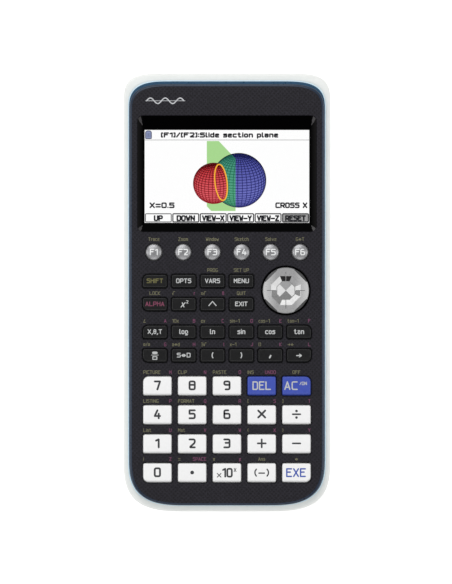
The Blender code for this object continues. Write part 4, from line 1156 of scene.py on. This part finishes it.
def make_solids(base):
    """The picture of two balls and the plane that cuts them."""
    level = [base + step * PICTURE_STEP for step in range(8)]
    half, quarter = PICTURE_STEP / 2, PICTURE_STEP / 4
    blue_span = [BLUE_MIDDLE.y + share * BLUE_RADIUS for share in (-0.5, 0.85)]
    red_span = [RED_MIDDLE.y + share * RED_RADIUS for share in (-0.7, 0.85)]
    plane = [Vector(point) * MM for point in CUT_PLANE]
    picture_face("picture_plane", plane, level[2] - half, "screen_green", (168, 216, 144))
    blue = disc_points(BLUE_MIDDLE, BLUE_RADIUS)
    picture_face("picture_blue_ball", blue, level[2], "screen_blue", (108, 112, 190), (60, 66, 150), blue_span)
    bm = ball_lines(BLUE_MIDDLE, BLUE_RADIUS, flat(level[3]), *BLUE_GRID, lambda point: True)
    picture_piece("picture_blue_lines", bm, "screen_blue_line", (40, 42, 112), (16, 18, 66), blue_span)
    behind = clipped(clipped(blue, PLANE_RIGHT, Vector((1, 0))), PLANE_TOP, PLANE_SLOPE)
    picture_face("picture_blue_behind", behind, level[4] - half,
                 "screen_teal", (84, 164, 130), (62, 140, 122), blue_span)
    bm = ball_lines(BLUE_MIDDLE, BLUE_RADIUS, flat(level[4]), *BLUE_GRID, on_plane)
    picture_piece("picture_blue_behind_lines", bm, "screen_teal_line", (42, 118, 84), (24, 84, 74), blue_span)
    bm = bmesh.new()
    ribbon(bm, blue, BALL_EDGE, True, flat(level[4] + quarter))
    picture_piece("picture_blue_edge", bm, "screen_blue_edge", (52, 48, 84), (4, 4, 12), blue_span)
    red = [point for point in disc_points(RED_MIDDLE, RED_RADIUS) if in_red(point)]
    start = max(range(len(red)), key=lambda i: (red[i] - red[i - 1]).length)
    rim = red[start:] + red[:start]
    far_side = [on_cut(-math.pi / 2 + math.pi * i / 24) for i in range(1, 24)]
    picture_face("picture_red_ball", rim + far_side, level[5],
                 "screen_red", (226, 96, 104), (190, 24, 30), red_span)
    bm = ball_lines(RED_MIDDLE, RED_RADIUS, flat(level[6]), *RED_GRID, in_red)
    ribbon(bm, rim, BALL_EDGE, False, flat(level[6] + quarter))
    picture_piece("picture_red_lines", bm, "screen_red_line", (140, 26, 34), (56, 0, 2), red_span)
    bm = bmesh.new()
    ribbon(bm, [on_cut(2 * math.pi * i / 48) for i in range(48)], 0.55 * MM, True, flat(level[7]))
    picture_piece("picture_section", bm, "screen_yellow", (250, 180, 58))


def spread_text(bm, text, x, y, capital, weight, width, align, height):
    """Text stretched sideways to this width."""
    narrow = (width - capital * weight) / text_width(text, capital / GRID_CAPITAL)
    write(bm, text, x, y, capital, weight, height, align, narrow)


def make_display():
    """The picture on the display: its ground, the balls, the title, two labels, the soft keys and an icon."""
    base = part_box("lcd_module")[1].z + PICTURE_STEP
    (px, py), half = PICTURE_MIDDLE, [side / 2 for side in PICTURE_SIZE]
    top, bottom, left, right = py + half[1], py - half[1], px - half[0], px + half[0]
    bm = bmesh.new()
    sheet = rounded_rectangle(*PICTURE_SIZE, [0.1 * MM] * 4, 2, PICTURE_MIDDLE)
    loft(bm, [at(sheet, z) for z in (base, base + PICTURE_STEP)], True, True)
    picture_piece("picture_ground", closed(bm), "screen_white", (255, 255, 255))
    make_solids(base)

    ink = bmesh.new()
    height, patch = flat(base + 2 * PICTURE_STEP), base + 1.6 * PICTURE_STEP
    row = bottom + LABEL_RISE
    for text, x, y, capital, weight, width, align in (
        (TITLE, left + 7.3 * MM, top - 2.15 * MM, 1.65, 0.38, 50.5, "left"),
        ("X=0.5", left + 2.4 * MM, row, 1.85, 0.34, 10.8, "left"),
        ("CROSS X", right - 1.1 * MM, row, 1.85, 0.34, 13.8, "right"),
    ):
        spread_text(ink, text, x, y, capital * MM, weight, width * MM, align, height)
    pitch = (right - left) / len(SOFT_KEYS)
    middle_y = bottom + SOFT_KEY_TALL / 2 + 0.1 * MM
    for i, (text, width) in enumerate(SOFT_KEYS):
        middle = (left + (i + 0.5) * pitch, middle_y)
        spread_text(ink, text, middle[0], middle_y - 0.15 * MM, 1.9 * MM, 0.36, width * MM, "centre", height)
        box = rounded_rectangle(pitch - 0.7 * MM, SOFT_KEY_TALL - 0.5 * MM, [0.35 * MM] * 4, 3, middle)
        ribbon(ink, [Vector(point) for point in box], (0.5 if i else 0.36) * MM, True, height)
    picture_piece("picture_text", ink, "screen_ink", (34, 34, 38))
    chosen = rounded_rectangle(pitch - 1.0 * MM, SOFT_KEY_TALL - 0.8 * MM, [0.2 * MM] * 4, 2,
                               (right - pitch / 2, middle_y))
    picture_face("picture_soft_key", chosen, patch, "screen_grey", (158, 158, 158))
    bm = bmesh.new()
    ribbon(bm, [Vector((x, top - 4.3 * MM)) for x in (left, right)], 0.2 * MM, False, height)
    picture_piece("picture_rule", bm, "screen_rule", (120, 120, 120))

    icon = (left + 1.65 * MM, top - 2.05 * MM)
    body = rounded_rectangle(*mm(2.5, 3.3), mm(0.9, 0.9, 0.3, 0.3), 4, icon)
    picture_face("picture_battery_body", body, patch, "screen_icon", (140, 150, 186))
    bm = bmesh.new()
    ribbon(bm, [Vector(point) for point in body], 0.36 * MM, True, height)
    for dx in (-0.6, 0.0, 0.6):
        bar = [Vector((icon[0] + dx * MM, icon[1] + dy * MM)) for dy in (-1.0, 0.7)]
        ribbon(bm, bar, 0.16 * MM, False, height)
    picture_piece("picture_battery_icon", bm, "screen_icon_edge", (58, 64, 96))


def paint_nodes():
    """Finishes for the model's own parts that stay in view."""
    window = looks("window_glass", (0.01, 0.01, 0.012), 0.05, mottle=0.01, bump=0.0, alpha=WINDOW_ALPHA)
    panel = looks("panel_border", grey(0.002), 0.3, specular=0.05)
    for node, look in (
        ("display_window", window), ("lcd_module", panel), ("circuit_board", BOARD_LOOK),
        ("rubber_keypad", SHEET_LOOK), ("cursor_pivot", SHEET_LOOK),
    ):
        materials = frame["nodes"][node].data.materials
        if not materials:
            materials.append(look)
        for i in range(len(materials)):
            materials[i] = look


# ---------------------------------------------------------------- batteries

JACKET_DARK, JACKET_COPPER, BAND_START = (0.02, 0.025, 0.035), (0.62, 0.30, 0.10), 0.66


def jacket_look():
    """A dark jacket with a copper-coloured end band, by distance along the cell."""
    made = looks("cell_jacket", JACKET_DARK, 0.25, coat=0.3, mottle=0.1)
    place = made.node_tree.nodes["Texture Coordinate"].outputs["UV"]
    split = add_node(made, "SeparateXYZ", {"Vector": place})
    ramp = add_node(made, "ValToRGB", {"Fac": split.outputs["X"]})
    ramp.color_ramp.interpolation = "CONSTANT"
    bands = ((0.0, JACKET_DARK), (BAND_START, JACKET_COPPER))
    for element, (start, colour) in zip(ramp.color_ramp.elements, bands):
        element.position, element.color = start, (*colour, 1)
    set_inputs(made, made.node_tree.nodes["Principled BSDF"], {"Base Color": ramp.outputs["Color"]})
    return made


def make_cell(name, node, way, jacket):
    """A cell with its terminal towards way along Y. Its jacket's UV runs along it."""
    low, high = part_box(node)
    middle, radius, end = (low + high) / 2, (high.x - low.x) / 2, (high.y - low.y) / 2
    base = [mm(0.3, 0.15), mm(3.6, 0.1), mm(4.0, 0.0), (radius - 0.3 * MM, 0.0), (radius, 0.3 * MM)]
    head = [(radius, 1.5 * MM), (radius - 0.4 * MM, 1.0 * MM), mm(2.2, 0.95), mm(1.9, 0.2), mm(1.7, 0.0),
            mm(0.2, 0.0)]
    bm = turned_bm([(r, inset - end) for r, inset in base] + [(r, end - inset) for r, inset in head], 64)
    uv = bm.loops.layers.uv.new("along")
    for face in bm.faces:
        on_jacket = all(abs(math.hypot(v.co.x, v.co.y) - radius) < 0.45 * MM for v in face.verts)
        face.material_index = 0 if on_jacket else 1
        for loop in face.loops:
            loop[uv].uv = (loop.vert.co.z / (2 * end) + 0.5, 0.5)
    bmesh.ops.rotate(bm, verts=bm.verts, matrix=Matrix.Rotation(-way * math.pi / 2, 3, "X"))
    bmesh.ops.translate(bm, verts=bm.verts, vec=middle)
    finish_piece(object_of(name, closed(bm)), [jacket, STEEL_LOOK], nodes=[node])
    return middle, middle.y - way * end


def make_spring(name, middle, start, end):
    """A tapering coil along Y that bears on a cell's flat end."""
    curve = bpy.data.curves.new("spring", "CURVE")
    curve.dimensions = "3D"
    curve.bevel_depth, curve.bevel_resolution, curve.use_fill_caps = SPRING_WIRE / 2, 3, True
    spline = curve.splines.new("POLY")
    spline.points.add(SPRING_TURNS * SPRING_STEPS)
    for i, point in enumerate(spline.points):
        share = i / (SPRING_TURNS * SPRING_STEPS)
        angle, r = 2 * math.pi * SPRING_TURNS * share, (3.4 - 1.6 * share) * MM
        run = start + (end - start) * (0.2 + 0.62 * share)
        point.co = (middle.x + r * math.cos(angle), run, middle.z + r * math.sin(angle), 1)
    spring = bpy.data.objects.new(name, curve)
    scene.collection.objects.link(spring)
    finish_piece(spring, STEEL_LOOK)


SPRING_WIRE, SPRING_TURNS, SPRING_STEPS = 0.5 * MM, 3, 20


def make_batteries():
    """Four cells side by side, each turned the other way from its neighbour, with a spring at its flat end."""
    jacket = jacket_look()
    for index in range(4):
        way = 1 if index % 2 == 0 else -1
        middle, flat_end = make_cell(f"cell_{index + 1}", f"battery_{index + 1}", way, jacket)
        make_spring(f"contact_spring_{index + 1}", middle, BAY_Y - way * BAY[1], flat_end)


# ---------------------------------------------------------------- stage

FLOOR_HALF, FLOOR_DROP = 3.0, 0.2 * MM
CAMERA_PLACE, CAMERA_LENS = (-0.4 * MM, 0.25 * MM, 2112.2 * MM), 300.6
# Each light's place, its width and height, and its power in watts. All of them face the middle.
LIGHTS = {
    "key": ((-0.25, 0.9, 1.05), 1.1, 0.7, 7.2), "left": ((-1.0, -0.05, 0.85), 0.5, 0.9, 2.9),
    "right": ((1.0, -0.05, 0.85), 0.5, 0.9, 2.7), "near": ((0, -0.9, 0.95), 0.9, 0.5, 2.4),
}
SKY_STRENGTH = 0.51


def make_stage():
    bm = bmesh.new()
    bmesh.ops.create_grid(bm, x_segments=1, y_segments=1, size=FLOOR_HALF)
    floor = object_of("floor", bm)
    floor.data.materials.append(
        looks("floor_pale", grey(0.90), 0.8, grain=3, mottle=0.01, bump=0.0, specular=0.1, glow=0.36))
    floor.location.z = -FLOOR_DROP
    for name, (place, wide, tall, power) in LIGHTS.items():
        light = bpy.data.lights.new(name, "AREA")
        light.shape, light.size, light.size_y, light.energy = "RECTANGLE", wide, tall, power
        lamp = bpy.data.objects.new(name, light)
        lamp.location = place
        lamp.rotation_euler = (-Vector(place)).to_track_quat("-Z", "Y").to_euler()
        scene.collection.objects.link(lamp)
    world = bpy.data.worlds.new("studio")
    world.use_nodes = True
    sky = world.node_tree.nodes["Background"].inputs
    sky["Color"].default_value, sky["Strength"].default_value = (1, 1, 1, 1), SKY_STRENGTH
    scene.world = world
    scene.view_settings.view_transform = "Standard"

    camera = bpy.data.cameras.new("camera")
    camera.lens, camera.sensor_width, camera.clip_start = CAMERA_LENS, 36, 0.01
    eye = bpy.data.objects.new("camera", camera)
    eye.location = CAMERA_PLACE
    scene.collection.objects.link(eye)
    scene.camera = eye


make_stage()
make_rear_case()
make_screws()
make_battery_cover()
make_batteries()
make_trim_ring()
make_front_case()
make_display()
make_keys()
make_cursor_pad()
make_face_print()
paint_nodes()
